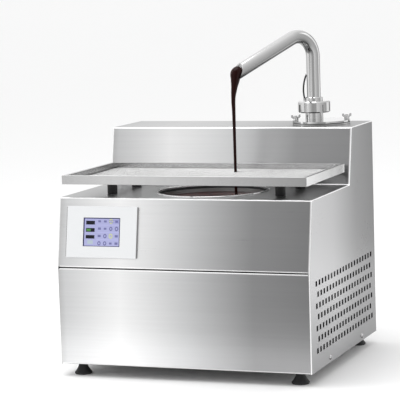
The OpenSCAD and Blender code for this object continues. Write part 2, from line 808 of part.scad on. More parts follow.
// One scraper arm as a flat outline: it follows the sump, the cone and the lower wall
module scraper_outline() {
    foot = z_sump + stir_gap;
    shoulder = z_sump + sump_h;
    outer = [[0, foot], [sump_r - stir_gap, foot], [sump_r - stir_gap, shoulder],
        [bowl_r - stir_gap, shoulder + cone_h], [bowl_r - stir_gap, shoulder + cone_h + arm_rise]];
    inner = [[bowl_r - stir_gap - arm_w, shoulder + cone_h + arm_rise],
        [bowl_r - stir_gap - arm_w, shoulder + cone_h + arm_w / 4],
        [sump_r - stir_gap - arm_w, shoulder + arm_w / 4],
        [sump_r - stir_gap - arm_w, foot + arm_w], [0, foot + arm_w]];
    polygon(concat(outer, inner));
}
module agitator() {
    color("#d7d9dc") difference() {
        translate([bowl_x, bowl_y, 0]) {
            for (side = [0, 180]) rotate([0, 0, side + stir_turn]) translate([0, -arm_t / 2, 0])
                along_y(arm_t) scraper_outline();
            translate([0, 0, z_sump + stir_gap]) cylinder(r = stir_hub_r, h = stir_hub_h);
        }
        at_bowl(z_sump) cylinder(r = stir_shaft_r, h = stir_gap + stir_hub_h - sheet_t);
    }
}
module agitator_shaft() {
    color("silver") at_bowl(z_floor + plinth_h) cylinder(r = stir_shaft_r,
        h = z_sump + stir_gap + stir_hub_h - sheet_t - z_floor - plinth_h);
}
module agitator_seal() {
    color("#141416") at_bowl(z_sump - bowl_t - seal_drop) difference() {
        union() {
            cylinder(r = stir_seal_r, h = seal_drop + bowl_t + sheet_t);
            cylinder(r = stir_seal_r + bowl_t, h = seal_drop);
        }
        translate([0, 0, -over]) cylinder(r = stir_shaft_r + shaft_play, h = seal_drop + bowl_t + sheet_t + 2 * over);
    }
}
// A worm gearbox with a hollow output, on its plinth, and the motor at its side
module gearmotor(bore) {
    cut = gearbox_w * gear_cut_share;
    side = gearbox_w / 2;
    motor_z = plinth_h + gearbox_h / 2;
    difference() {
        union() {
            translate([-side + cut, -gear_rear + cut, 0])
                cube([gearbox_w - 2 * cut, gear_rear + gear_front - 2 * cut, plinth_h]);
            translate([0, 0, plinth_h]) linear_extrude(gearbox_h) polygon([
                [-side, -gear_rear], [side - cut, -gear_rear], [side, -gear_rear + cut],
                [side, gear_front - cut], [side - cut, gear_front], [-side + cut, gear_front],
                [-side, gear_front - cut]]);
            translate([0, 0, plinth_h + gearbox_h]) cylinder(r = bore + gear_boss_w, h = gear_boss_h);
            translate([-side - motor_l, -gear_offset, motor_z]) rotate([0, 90, 0])
                cylinder(r = motor_r, h = motor_l);
            translate([-side - motor_l - motor_cap_l, -gear_offset, motor_z]) rotate([0, 90, 0])
                cylinder(r1 = motor_r * motor_cap_share, r2 = motor_r, h = motor_cap_l);
            translate([-side - motor_l / 2, -gear_offset, motor_z + motor_r - terminal_sink])
                block([terminal_w, terminal_w * terminal_share, terminal_h]);
        }
        translate([0, 0, plinth_h - run_gap])
            cylinder(r = bore + shaft_play, h = gearbox_h + gear_boss_h + 2 * over);
    }
}
module agitator_gearmotor() { color("#4a5058") at_bowl(z_floor) gearmotor(stir_shaft_r); }
module pump_gearmotor() { color("#4a5058") at_pump(z_floor) gearmotor(drive_r); }

// Pump
module at_pump(z) { translate([pump_x, pump_y, z]) children(); }
module at_neck(z) { translate([neck_x, pump_y, z]) children(); }
module transfer_pipe() {
    color("#c9cacc") difference() {
        at_bowl(z_pipe) rotate([0, 90, pipe_heading]) tube(pipe_r, pipe_r - bowl_t, pipe_run);
        at_bowl(0) cylinder(r = sump_r + bowl_t, h = z_top);
        at_pump(0) cylinder(r = barrel_r, h = z_top);
    }
}
module auger_barrel() {
    color("#c9cacc") difference() {
        union() {
            at_pump(z_barrel) cylinder(r = barrel_r, h = z_top - z_barrel);
            at_pump(z_barrel) cylinder(r = barrel_r + barrel_foot_w, h = barrel_foot_t);
            at_pump(z_top) cylinder(r = flange_r, h = seat_t, $fn = 96);
        }
        at_pump(z_barrel - over) cylinder(r = barrel_in_r, h = z_top + seat_t - z_barrel + 2 * over);
        at_bowl(z_pipe) rotate([0, 90, pipe_heading]) cylinder(r = pipe_r - bowl_t, h = pipe_run);
    }
}
module barrel_heater() {
    color("#c96a2c") at_pump(z_pipe + pipe_r + heater_gap) tube(barrel_r + heater_t, barrel_r,
        z_top - sheet_t - flange_w - z_pipe - pipe_r - heater_gap);
}
module auger_core() {
    {
        at_pump(z_floor + plinth_h) cylinder(r = drive_r, h = z_screw - z_floor - plinth_h);
        at_pump(z_screw) cylinder(r = screw_core_r, h = z_screw_top - z_screw);
    }
}
module auger_flight() {
    sweep = 360 * flight_t / screw_pitch;
    turns = (z_screw_top - z_screw) / screw_pitch;
    arc = [for (i = [0:flight_steps]) sweep * i / flight_steps];
    at_pump(z_screw) linear_extrude(z_screw_top - z_screw, twist = -360 * turns,
        slices = ceil(turns * flight_slices), $fn = flight_fn) polygon(concat(
            [for (a = arc) (barrel_in_r - fit_gap) * [cos(a), sin(a)]],
            [for (a = backwards(arc)) (screw_core_r - weld_sink) * [cos(a), sin(a)]]));
}
module auger_screw() {
    color("silver") {
        auger_core();
        auger_flight();
    }
}
module auger_seal() {
    color("#141416") at_pump(z_barrel) tube(barrel_in_r, drive_r + shaft_play, auger_seal_h);
}
// A bridge over the gearbox on which the barrel stands
module pump_stand() {
    rows = [-gear_rear - stand_gap - stand_t, gear_front + stand_gap];
    h = z_barrel - z_floor;
    color("gray") at_pump(z_floor) difference() {
        translate([-stand_w / 2, 0, 0]) union() {
            for (y = rows) translate([0, y, 0]) cube([stand_w, stand_t, h]);
            translate([0, rows[0], h - stand_t])
                cube([stand_w, rows[1] + stand_t - rows[0], stand_t]);
        }
        cylinder(r = drive_r + bowl_t, h = z_barrel);
    }
}
// Pump head: gasket, clamped flange with the outlet neck, studs and wing nuts
module stud_places() {
    for (side = [-1, 1]) rotate([0, 0, stud_heading]) translate([side * stud_ring_r, 0, 0]) children();
}
module pump_gasket() {
    color("#141416") at_pump(z_top + seat_t) difference() {
        cylinder(r = flange_r - gasket_t, h = gasket_t, $fn = 96);
        translate([0, 0, -over]) cylinder(r = barrel_in_r, h = gasket_t + 2 * over);
        translate([0, 0, -over]) stud_places() cylinder(r = stud_r + run_gap, h = gasket_t + 2 * over);
    }
}
module pump_head() {
    bore = spout_r - spout_t;
    flare = union_thread_r - neck_r;
    color("#d2d4d6") difference() {
        union() {
            at_pump(z_head - head_t) cylinder(r = flange_r, h = head_t, $fn = 96);
            at_neck(z_head) cylinder(r = neck_r, h = neck_h + fit_gap);
            at_neck(z_nut + fit_gap) cylinder(r1 = neck_r, r2 = union_thread_r, h = flare / 2);
            at_neck(z_nut + fit_gap + flare / 2) cylinder(r = union_thread_r,
                h = male_h - fit_gap - flare / 2);
        }
        at_neck(z_head - head_t - over) cylinder(r = bore, h = head_t + neck_h + male_h + 2 * over);
        at_pump(z_head - head_t - over) stud_places()
            cylinder(r = stud_r + run_gap, h = head_t + 2 * over);
    }
}
module flange_studs() {
    color("silver") at_pump(z_top + seat_t) stud_places()
        cylinder(r = stud_r, h = gasket_t + head_t + wing_nut_h + stud_spare);
}
module wing_nut(side) {
    at = stud_ring_r * side;
    color("silver") at_pump(z_head + run_gap) rotate([0, 0, stud_heading]) translate([at, 0, 0])
        difference() {
            union() {
                cylinder(r1 = wing_root_r, r2 = wing_root_r * wing_top_share, h = wing_nut_h);
                for (turn = [0, 180]) rotate([0, 0, turn + wing_turn]) translate([0, -wing_t / 2, 0])
                    along_y(wing_t) polygon([[wing_root_r * wing_in_share, wing_nut_h / 4],
                        [wing_span * wing_low_share, wing_nut_h * wing_low_share],
                        [wing_span, wing_nut_h], [wing_span, wing_top],
                        [wing_span * wing_low_share, wing_top],
                        [wing_root_r * wing_in_share, wing_nut_h * wing_top_share]]);
            }
            translate([0, 0, -over]) cylinder(r = stud_r + shaft_play, h = wing_top + 2 * over);
        }
}
module wing_nut_left() { wing_nut(-1); }
module wing_nut_right() { wing_nut(1); }

// Union and spout
module union_seal() {
    color("#141416") at_neck(z_nut + male_h) tube(collar_r, spout_r - spout_t, union_seal_t);
}
module union_nut() {
    web_z = male_h + union_seal_t + run_gap / 2 + shoulder_t + run_gap;
    cavity = union_thread_r + run_gap;
    ring = union_nut_r - nut_bevel;
    color("silver") at_neck(z_nut) difference() {
        rotate_extrude($fn = 96) polygon([[cavity, 0], [ring, 0], [union_nut_r, nut_bevel],
            [union_nut_r, union_nut_h - nut_bevel], [ring, union_nut_h],
            [collar_r + run_gap, union_nut_h], [collar_r + run_gap, web_z], [cavity, web_z]]);
        for (i = [0:nut_slot_count - 1]) rotate([0, 0, nut_slot_turn + i * 360 / nut_slot_count])
            translate([union_nut_r, 0, -over]) block([2 * nut_slot_depth, nut_slot_w,
                union_nut_h - nut_bevel - nut_slot_w / 2]);
    }
}
module spout_collar() {
    low = z_shoulder;
    high = z_collar_top;
    color("silver") difference() {
        union() {
            at_neck(low) cylinder(r = union_thread_r - bowl_t, h = shoulder_t);
            at_neck(low) cylinder(r = collar_r, h = high - low - collar_bevel);
            at_neck(high - collar_bevel) cylinder(r1 = collar_r, r2 = collar_r - collar_bevel,
                h = collar_bevel);
            lead_socket();
        }
        at_neck(low - over) cylinder(r = spout_r, h = high - low + 2 * over);
    }
}
module lead_socket() {
    at_neck(z_lead_low - lead_boss_h) rotate([0, 0, lead_heading])
        translate([lead_low_r, 0, 0]) cylinder(r = lead_boss_r, h = lead_boss_h);
}
// The arm leaves the riser's bend; local X runs along its heading
module toward_outlet() {
    translate([neck_x, pump_y, z_bend]) rotate([0, 0, -90 - spout_heading]) children();
}
module spout_ring() {
    difference() {
        circle(spout_r);
        circle(spout_r - spout_t);
    }
}
module spout_riser() {
    color("#dfe1e3") at_neck(z_shoulder) tube(spout_r, spout_r - spout_t, z_bend - z_shoulder);
}
module spout_tube() {
    color("#dfe1e3") toward_outlet() {
        translate([spout_bend_r, 0, 0]) rotate([90, 0, 180])
            rotate_extrude(angle = 90 + spout_slope) translate([spout_bend_r, 0]) spout_ring();
        difference() {
            translate([arm_x, 0, arm_z]) rotate([0, 90 + spout_slope, 0])
                linear_extrude(arm_l) spout_ring();
            translate([spout_reach, 0, mouth_z]) rotate([0, -mouth_lean, 0])
                translate([0, -mouth_cut, -mouth_cut]) cube(2 * mouth_cut);
        }
    }
}
// A small fitting on the riser and the thin lead that bows down to the collar
module at_lead() { at_neck(0) rotate([0, 0, lead_heading]) children(); }
module lead_boss() {
    translate([0, 0, z_lead_top]) rotate([0, 90, 0]) cylinder(r = lead_boss_r, h = lead_top_r + lead_r);
}
module probe_fitting() {
    color("silver") at_lead() difference() {
        lead_boss();
        translate([0, 0, z_nut]) cylinder(r = spout_r, h = z_bend - z_nut);
    }
}
module probe_lead() {
    chord = [lead_low_r, z_lead_low] - [lead_top_r, z_lead_top];
    half = norm(chord) / 2;
    bow_r = (half * half + lead_bow * lead_bow) / (2 * lead_bow);
    mid = ([lead_low_r, z_lead_low] + [lead_top_r, z_lead_top]) / 2;
    out = leftward(unit(chord));
    c = mid - out * (bow_r - lead_bow);
    span = asin(half / bow_r);
    color("#2a2a2c") difference() {
        at_lead() translate([c.x, 0, c.y]) rotate([90, 0, 0])
            rotate([0, 0, atan2(out.y, out.x) - span])
                rotate_extrude(angle = 2 * span, $fn = 96) translate([bow_r, 0]) circle(lead_r, $fn = 24);
        at_lead() lead_boss();
        lead_socket();
    }
}
// Tray
module tray_frame() {
    inside_w = tray_w - 2 * sheet_t;
    inside_d = tray_d - 2 * sheet_t;
    color("#d7d9dc") translate([0, tray_y, z_tray]) difference() {
        union() {
            difference() {
                block([tray_w, tray_d, rim_h]);
                translate([0, 0, sheet_t]) block([inside_w, inside_d, rim_h - 2 * sheet_t]);
                translate([0, 0, -over]) block([tray_w - 2 * rim_flange_w,
                    tray_d - 2 * rim_flange_w, sheet_t + 2 * over]);
                translate([0, 0, rim_h - sheet_t - over]) block([tray_w - 2 * rim_lip_w,
                    tray_d - 2 * rim_lip_w, sheet_t + 2 * over]);
            }
            for (x = [-1, 1]) translate([x * tray_foot_x, 0, 0])
                block([2 * tray_foot_r + bar_spare, tray_d - 2 * rim_flange_w, sheet_t]);
        }
        tray_foot_holes();
    }
}
module tray_foot_holes() {
    tray_foot_places() translate([0, 0, -over]) cylinder(r = screw_r, h = sheet_t + 2 * over);
}
module tray_foot_places() {
    for (x = [-1, 1], row = [0, 1]) translate([x * tray_foot_x,
        y_front + tray_foot_front + row * tray_foot_spacing - tray_y, 0]) children();
}
module tray_grid() {
    grid_w = tray_w - 2 * sheet_t - 2 * fit_gap;
    grid_d = tray_d - 2 * sheet_t - 2 * fit_gap;
    count = floor((grid_d / 2 - wire_r) / wire_pitch);
    color("#c9cacc") translate([0, tray_y, z_tray + sheet_t]) {
        for (share = grid_bar_shares) translate([share * (grid_w - grid_bar_w) / 2, 0, 0])
            block([grid_bar_w, grid_d, grid_bar_t]);
        for (i = [-count:count]) translate([-grid_w / 2, i * wire_pitch, grid_bar_t + wire_r - weld_sink])
            rotate([0, 90, 0]) cylinder(r = wire_r, h = grid_w, $fn = 16);
    }
}
module tray_feet() {
    color("#1c1c1e") translate([0, tray_y, z_deck + run_gap / 2]) tray_foot_places() difference() {
        cylinder(r = tray_foot_r, h = tray_foot_h - run_gap / 2);
        translate([0, 0, tray_foot_h - tray_screw_l]) cylinder(r = screw_r, h = tray_screw_l);
    }
}
module tray_screws() {
    color("silver") translate([0, tray_y, z_tray + sheet_t]) tray_foot_places() {
        cylinder(r1 = screw_head_r, r2 = screw_head_r * screw_crown_share, h = tray_head_h);
        translate([0, 0, -tray_screw_l]) cylinder(r = screw_r, h = tray_screw_l);
    }
}
// Electrics
module power_supply() {
    color("#9aa0a6") translate([psu_x, psu_y, z_floor]) difference() {
        block([psu_w, psu_d, psu_h]);
        for (i = [0:psu_slot_count - 1]) translate([(i + 0.5) * psu_w / psu_slot_count - psu_w / 2, 0, psu_h - psu_slot_depth])
            block([psu_slot_w, psu_d * psu_slot_share, psu_h]);
    }
}
module board_spacers() {
    color("#c9a24a") board_places() rotate([0, 90, 0]) cylinder(r = spacer_r, h = board_gap, $fn = 6);
}
module board_places() {
    for (y = [-1, 1], z = [-1, 1]) translate([-x_inner, board_y + y * (board_w / 2 - board_edge),
        board_z + z * (board_h / 2 - board_edge)]) children();
}
module control_board() {
    color("#1f6b3a") translate([-x_inner + board_gap, board_y, board_z]) {
        translate([0, -board_w / 2, -board_h / 2]) cube([board_t, board_w, board_h]);
        for (i = [0:relay_count - 1]) translate([board_t, (i - relay_count / 2) * relay_pitch, board_h / 6])
            cube([relay_size, relay_size, relay_size]);
        translate([board_t, -board_w * terminal_row_share / 2, -board_h / 2 + board_edge])
            cube([relay_size * terminal_block_share, board_w * terminal_row_share, relay_size / 2]);
    }
}
module at_fan(y) { translate([-fan_x, y, z_base + fan_z]) children(); }
module fan_holes() {
    for (x = [-1, 1], z = [-1, 1]) translate([x, z] * fan_hole_spacing / 2) children();
}
module fan_screw_places() { translate([-fan_x, z_base + fan_z]) fan_holes() children(); }
module fan_frame() {
    color("#26262a") at_fan(y_rear - fan_depth) {
        along_y(fan_depth) difference() {
            rounded_rect(fan_w, fan_w, fan_corner_r);
            circle(fan_bore_r);
            fan_holes() circle(screw_r + fit_gap / 2);
        }
        along_y(strut_t) difference() {
            union() {
                circle(fan_hub_r);
                for (i = [0:strut_count - 1]) rotate(i * 360 / strut_count) translate([0, -strut_w / 2])
                    square([fan_bore_r + strut_t / 2, strut_w]);
            }
        }
        along_y(fan_depth - strut_t) circle(fan_pin_r);
    }
}
module fan_rotor() {
    low = strut_t + run_gap;
    high = fan_depth - strut_t;
    color("#36363a") at_fan(y_rear - fan_depth + low) {
        along_y(high - low) difference() {
            circle(fan_hub_r);
            circle(fan_pin_r + shaft_play);
        }
        intersection() {
            along_y(high - low) difference() {
                circle(fan_bore_r - blade_gap);
                circle(fan_hub_r - blade_gap);
            }
            for (i = [0:blade_count - 1]) rotate([0, i * 360 / blade_count, 0])
                translate([0, (high - low) / 2, 0]) rotate([0, 0, blade_turn])
                    translate([-blade_t / 2, -fan_depth, 0]) cube([blade_t, 2 * fan_depth, fan_bore_r]);
        }
    }
}
module fan_guard() {
    cross_y = 3 * guard_wire_r - weld_sink;
    color("silver") at_fan(y_back) {
        translate([0, guard_wire_r, 0]) for (i = [1:guard_rings]) rotate([90, 0, 0])
            rotate_extrude() translate([i * guard_ring_r / guard_rings, 0]) circle(guard_wire_r);
        for (turn = [45, 135]) rotate([0, turn, 0]) translate([-guard_reach, cross_y, 0])
            rotate([0, 90, 0]) cylinder(r = guard_wire_r, h = 2 * guard_reach);
        along_y(cross_y) fan_holes() circle(screw_head_r);
        translate([0, -guard_screw_l, 0]) along_y(guard_screw_l) fan_holes() circle(screw_r);
    }
}
module power_inlet() {
    color("#1c1c1e") translate([power_x, y_back - inlet_l, inlet_z]) {
        difference() {
            union() {
                along_y(inlet_l) square([inlet_w - fit_gap, inlet_h - fit_gap], center = true);
                translate([0, inlet_l, 0]) along_y(inlet_flange_t)
                    square([inlet_w + inlet_flange_w, inlet_h + inlet_flange_w], center = true);
            }
            translate([0, inlet_l + inlet_flange_t - socket_l, 0]) along_y(socket_l + over)
                square([socket_w, socket_h], center = true);
        }
        for (pin = inlet_pin_shares) translate([pin.x * socket_w, inlet_l + inlet_flange_t - socket_l, pin.y * socket_h])
            along_y(socket_l - sheet_t) square([inlet_pin_t, inlet_pin_w], center = true);
    }
}
module switch_frame() {
    color("#1c1c1e") translate([power_x, y_back - inlet_l, switch_z]) difference() {
        union() {
            along_y(inlet_l) square([switch_w - fit_gap, switch_h - fit_gap], center = true);
            translate([0, inlet_l, 0]) along_y(inlet_flange_t)
                square([switch_w + inlet_flange_w, switch_h + inlet_flange_w], center = true);
        }
        translate([0, inlet_l - rocker_pocket, 0]) along_y(rocker_pocket + inlet_flange_t + over)
            square([rocker_w + 2 * run_gap, 2 * rocker_r + 2 * run_gap], center = true);
        translate([-rocker_w / 2 - rocker_pin_l - over / 2, inlet_l - rocker_drop, 0]) rotate([0, 90, 0])
            cylinder(r = rocker_pin_r + shaft_play, h = rocker_w + 2 * rocker_pin_l + over, $fn = 24);
    }
}
module switch_rocker() {
    color("#b3262b") translate([power_x, y_back - rocker_drop, switch_z]) rotate([-rocker_tilt, 0, 0]) {
        along_x(rocker_w) intersection() {
            circle(rocker_r);
            polygon([[-rocker_back, -rocker_r], [rocker_lip, -rocker_r], [rocker_lip * rocker_dip_share, 0],
                [rocker_lip, rocker_r], [-rocker_back, rocker_r]]);
        }
        along_x(rocker_w + 2 * rocker_pin_l) circle(rocker_pin_r, $fn = 24);
    }
}

top_cover();
front_panel();
left_side_panel();
right_side_panel();
rear_panel();
base_pan();
panel_screws();
foot_front_left();
foot_front_right();
foot_rear_left();
foot_rear_right();
foot_nuts();
touch_bezel();
display_glass();
display_case();
display_clips();
bowl_bead();
bowl_seal();
bowl();
bowl_clamp_ring();
bowl_fasteners();
bowl_heater();
bowl_sensor();
agitator();
agitator_shaft();
agitator_seal();
agitator_gearmotor();
transfer_pipe();
auger_barrel();
barrel_heater();
auger_screw();
auger_seal();
pump_stand();
pump_gearmotor();
pump_gasket();
pump_head();
flange_studs();
wing_nut_left();
wing_nut_right();
union_seal();
union_nut();
spout_collar();
spout_riser();
spout_tube();
probe_fitting();
probe_lead();
tray_frame();
tray_grid();
tray_feet();
tray_screws();
power_supply();
control_board();
board_spacers();
fan_frame();
fan_rotor();
fan_guard();
power_inlet();
switch_frame();
switch_rocker();
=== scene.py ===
# %% [markdown]
# This lesson dresses a table-top chocolate melter: a stainless housing with a leaning control
# panel, a bowl sunk in its deck, a lift-off grid tray and a pumped spout. The machined frame is
# loaded first. It already has every solid in its place, so each piece made here only has to sit
# where that frame says.

# %% Load the frame
import json
import math

import bmesh
import bpy
from mathutils import Matrix, Vector


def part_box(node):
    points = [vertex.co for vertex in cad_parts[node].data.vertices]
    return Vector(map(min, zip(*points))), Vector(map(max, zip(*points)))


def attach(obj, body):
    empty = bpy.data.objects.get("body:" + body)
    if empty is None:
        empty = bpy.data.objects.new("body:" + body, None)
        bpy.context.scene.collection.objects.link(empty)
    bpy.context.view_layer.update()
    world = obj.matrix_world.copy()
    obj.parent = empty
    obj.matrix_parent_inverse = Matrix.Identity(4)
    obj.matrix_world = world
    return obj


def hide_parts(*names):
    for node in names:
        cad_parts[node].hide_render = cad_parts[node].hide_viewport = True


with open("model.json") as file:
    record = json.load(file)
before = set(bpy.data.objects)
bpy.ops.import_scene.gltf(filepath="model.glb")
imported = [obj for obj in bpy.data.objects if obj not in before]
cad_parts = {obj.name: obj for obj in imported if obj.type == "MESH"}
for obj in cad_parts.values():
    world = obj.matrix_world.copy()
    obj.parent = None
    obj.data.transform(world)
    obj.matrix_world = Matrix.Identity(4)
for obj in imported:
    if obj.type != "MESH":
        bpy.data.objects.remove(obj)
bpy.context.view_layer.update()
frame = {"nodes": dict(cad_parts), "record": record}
MM = 0.001

# %% [markdown]
# The photograph was taken with a long lens from the right, a little above the deck. A long lens
# keeps the housing's edges nearly parallel. A constraint could aim the camera at the machine, but
# it would lose the small tilt that the picture has. Here three axes turn it exactly.

# %% Camera
RIGHT = Vector((0.9364, 0.3495, -0.0312))
UP = Vector((-0.01254, 0.12218, 0.99239))
FORWARD = Vector((-0.3507, 0.9289, -0.1188))
EYE = Vector((1.0958, -2.9920, 0.6458))
FILM_W = 36
FOCAL_LENGTH = 176.5
FAR_CLIP = 50

lens = bpy.data.cameras.new("camera")
lens.sensor_width = FILM_W
lens.lens = FOCAL_LENGTH
lens.clip_end = FAR_CLIP
camera = bpy.data.objects.new("camera", lens)
bpy.context.collection.objects.link(camera)
turn = Matrix((RIGHT, UP, -FORWARD)).transposed().to_4x4()
camera.matrix_world = Matrix.Translation(EYE) @ turn
bpy.context.scene.camera = camera
print("camera at", [round(c, 3) for c in EYE], "lens", lens.lens, "mm")

# %% [markdown]
# Every finish is a small sum, such as a base colour plus a little grain. Nodes could be placed and
# joined one at a time, but a sum of ten terms is hard to read that way. Wrapping a socket in a
# class lets it be written as Python: `0.3 + 0.1 * grain` adds the two Math nodes by itself.

# %% Shader sums
class Value:
    def __init__(self, tree, socket):
        self.tree = tree
        self.socket = socket

    def math(self, operation, *others):
        values = dict(enumerate([self, *others]))
        return self.tree.node("ShaderNodeMath", {"operation": operation}, values)

    def __add__(self, other):
        return self.math("ADD", other)

    def __sub__(self, other):
        return self.math("SUBTRACT", other)

    def __mul__(self, other):
        return self.math("MULTIPLY", other)

    def __truediv__(self, other):
        return self.math("DIVIDE", other)

    def __rsub__(self, other):
        return self.tree.node("ShaderNodeMath", {"operation": "SUBTRACT"}, {0: other, 1: self})

    __radd__ = __add__
    __rmul__ = __mul__

    def above(self, edge):
        return self.math("GREATER_THAN", edge)

    def below(self, edge):
        return self.math("LESS_THAN", edge)

    def between(self, low, high):
        return self.above(low) * self.below(high)

    def abs(self):
        return self.math("ABSOLUTE")

    def fade(self, low, high):
        settings = {"interpolation_type": "SMOOTHSTEP"}
        values = {"Value": self, "From Min": low, "From Max": high}
        return self.tree.node("ShaderNodeMapRange", settings, values)


print("a socket can now be added, scaled and compared")

# %% [markdown]
# A finish is one material with one Principled shader. What is the same all over goes straight on
# the shader's own sockets. Only colour, glow, roughness and bump follow a pattern, because those
# can be baked. One method makes any node, sets its options and then joins or fills its sockets. A
# Mix node's colour sockets share their names with others, so they are told by number.

# %% A finish and its nodes
FACTOR, COLOUR_A, COLOUR_B, COLOUR_OUT = 0, 6, 7, 2
NOISE_ROUGHNESS = 0.55


class Finish:
    def __init__(self, name, colour, **sockets):
        self.material = bpy.data.materials.new(name)
        self.material.use_nodes = True
        self.nodes = self.material.node_tree.nodes
        self.links = self.material.node_tree.links
        self.shader = self.nodes["Principled BSDF"]
        self.material.diffuse_color = (*colour, 1)
        self.set("Base Color", (*colour, 1))
        for socket, value in sockets.items():
            self.set(socket.replace("_", " "), value)

    def fill(self, socket, value):
        if isinstance(value, Value):
            self.links.new(value.socket, socket)
        else:
            socket.default_value = value

    def set(self, name, value):
        self.fill(self.shader.inputs[name], value)
        return self

    def node(self, kind, settings=None, values=None, output=0):
        node = self.nodes.new(kind)
        for key, value in (settings or {}).items():
            setattr(node, key, value)
        for key, value in (values or {}).items():
            self.fill(node.inputs[key], value)
        return Value(self, node.outputs[output])

    def place(self, stretch=(1, 1, 1)):
        where = self.node("ShaderNodeTexCoord", output="Object")
        return self.node("ShaderNodeMapping", {}, {"Vector": where, "Scale": stretch})

    def axis(self, letter):
        return self.node("ShaderNodeSeparateXYZ", {}, {"Vector": self.place()}, output=letter)

    def facing(self, letter):
        normal = self.node("ShaderNodeTexCoord", output="Normal")
        return self.node("ShaderNodeSeparateXYZ", {}, {"Vector": normal}, output=letter)

    def noise(self, scale, stretch=(1, 1, 1), detail=3.0):
        values = {"Vector": self.place(stretch), "Scale": scale, "Detail": detail}
        return self.node("ShaderNodeTexNoise", {}, {**values, "Roughness": NOISE_ROUGHNESS})

    def ramp(self, value, stops):
        made = self.node("ShaderNodeValToRGB", {}, {"Fac": value})
        elements = made.socket.node.color_ramp.elements
        while len(elements) < len(stops):
            elements.new(0.5)
        for element, (position, colour) in zip(elements, stops):
            element.position = position
            element.color = (*colour, 1)
        return made

    def mix(self, mask, first, second):
        first, second = (c if isinstance(c, Value) else (*c, 1) for c in (first, second))
        values = {FACTOR: mask, COLOUR_A: first, COLOUR_B: second}
        return self.node("ShaderNodeMix", {"data_type": "RGBA"}, values, COLOUR_OUT)

    def times(self, first, second):
        settings = {"data_type": "RGBA", "blend_type": "MULTIPLY"}
        values = {FACTOR: 1.0, COLOUR_A: first, COLOUR_B: second}
        return self.node("ShaderNodeMix", settings, values, COLOUR_OUT)

    def bump(self, height, strength, distance):
        values = {"Height": height, "Strength": strength, "Distance": distance}
        return self.set("Normal", self.node("ShaderNodeBump", {}, values))


def grey(level):
    return (level, level, level)


finishes = {}
print("finishes are ready to be mixed")

# %% [markdown]
# The housing is satin stainless sheet, brushed level. A drawn stripe pattern would repeat, so the
# grain is a noise that is stretched along the sheet and has no period that could show. A studio's
# sheen lies across such sheets in broad bands: lighter left of the middle, darker to the right.
# Bands made by lamps alone would slide when the machine is turned, so most of the sheen is painted
# reflection, a ramp over the sheet in its colour, and another ramp paints the flanks darker towards
# the back, also as painted reflection.

# %% Tones of the satin sheet, with its painted sheen, painted highlight and painted shade
PER_WIDTH, PER_DEPTH = 2.381, 2.688
# Painted reflection: bands of sheen across the sheet, lighter left of the middle.
SHEEN = [
    (0.0, (0.6, 0.6, 0.6)),
    (0.03, (0.74, 0.745, 0.75)),
    (0.25, (0.93, 0.93, 0.93)),
    (0.52, (0.66, 0.665, 0.67)),
    (0.78, (0.38, 0.38, 0.385)),
]
# Painted reflection: the flanks are painted darker towards the back.
FLANK_SHEEN = [(0.0, grey(1.05)), (0.35, grey(1.0)), (0.7, grey(0.66)), (1.0, grey(0.6))]
STREAKS = [(0.3, grey(0.96)), (0.7, grey(1.0))]
# Painted reflection of a dark ceiling, mixed into level faces.
PAINTED_CEILING, PAINTED_CEILING_SHARE = (0.22, 0.22, 0.222), 0.6
# Painted highlight on rounded bends.
GLINT = grey(0.95)
# Painted shade for faces turned inwards or down.
IN_SHADE = grey(0.05)
print("satin sheet:", len(SHEEN), "stops of sheen and", len(FLANK_SHEEN), "along the flank")

# %% [markdown]
# The object's own normal tells the faces apart. Level faces are painted darker, as a painted
# reflection of a dark ceiling. Rounded bends look two ways at once, so the product of two parts of
# their normal is large, and they are painted as thin bright lines, a painted highlight. Faces that
# look towards the middle of the machine, or down, are painted nearly black as painted shade.

# %% Satin sheet
FLANK_NORMAL = 0.9
LEVEL_NORMAL = (0.75, 0.97)
BEND_PRODUCT = (0.24, 0.42)
INWARD, DOWNWARD = -0.15, -0.8
GRAIN_SCALE, CLOUD_SCALE = 260.0, 5.0
GRAIN_SHARE, CLOUD_SHARE = 0.9, 0.1
GRAIN_GLOSS, CLOUD_GLOSS = 0.1, 0.06
SCRATCH, SCRATCH_DEPTH = 0.12, 0.12 * MM
LEVEL_BRUSHING = (0.02, 1, 1)


def satin_sheet(name, stretch, tone, rough):
    steel = Finish(name, grey(tone), Metallic=1.0, Anisotropic=0.4)
    grain = steel.noise(GRAIN_SCALE, stretch, detail=4.0)
    cloud = steel.noise(CLOUD_SCALE, detail=2.0)
    x, y, z = (steel.facing(letter) for letter in "XYZ")
    # Painted sheen across the sheet, and painted darkening of the flanks towards the back.
    sheen = steel.ramp(steel.axis("X") * PER_WIDTH + 0.5, SHEEN)
    depth = steel.ramp(steel.axis("Y") * PER_DEPTH + 0.5, FLANK_SHEEN)
    flank = steel.mix(x.abs().above(FLANK_NORMAL), grey(1), depth)
    streak = steel.ramp(GRAIN_SHARE * grain + CLOUD_SHARE * cloud, STREAKS)
    colour = steel.times(steel.times(sheen, flank), streak)
    # Painted reflection: level faces are painted darker.
    colour = steel.mix(z.fade(*LEVEL_NORMAL) * PAINTED_CEILING_SHARE, colour, PAINTED_CEILING)
    bend = (x * y).abs() + (y * z).abs() + (x * z).abs()
    # Painted highlight: bends are painted as thin bright lines.
    colour = steel.mix(bend.fade(*BEND_PRODUCT), colour, GLINT)
    # Painted shade: faces that look inwards or down are painted nearly black.
    inward = (x * steel.axis("X")).below(INWARD) + (y * steel.axis("Y")).below(INWARD)
    painted_shade_mask = inward + z.below(DOWNWARD)
    steel.set("Base Color", steel.mix(painted_shade_mask.above(0.5), colour, IN_SHADE))
    uneven = GRAIN_GLOSS * (grain - 0.5) + CLOUD_GLOSS * (cloud - 0.5)
    steel.set("Roughness", rough + uneven)
    steel.bump(grain, SCRATCH, SCRATCH_DEPTH)
    return steel.material


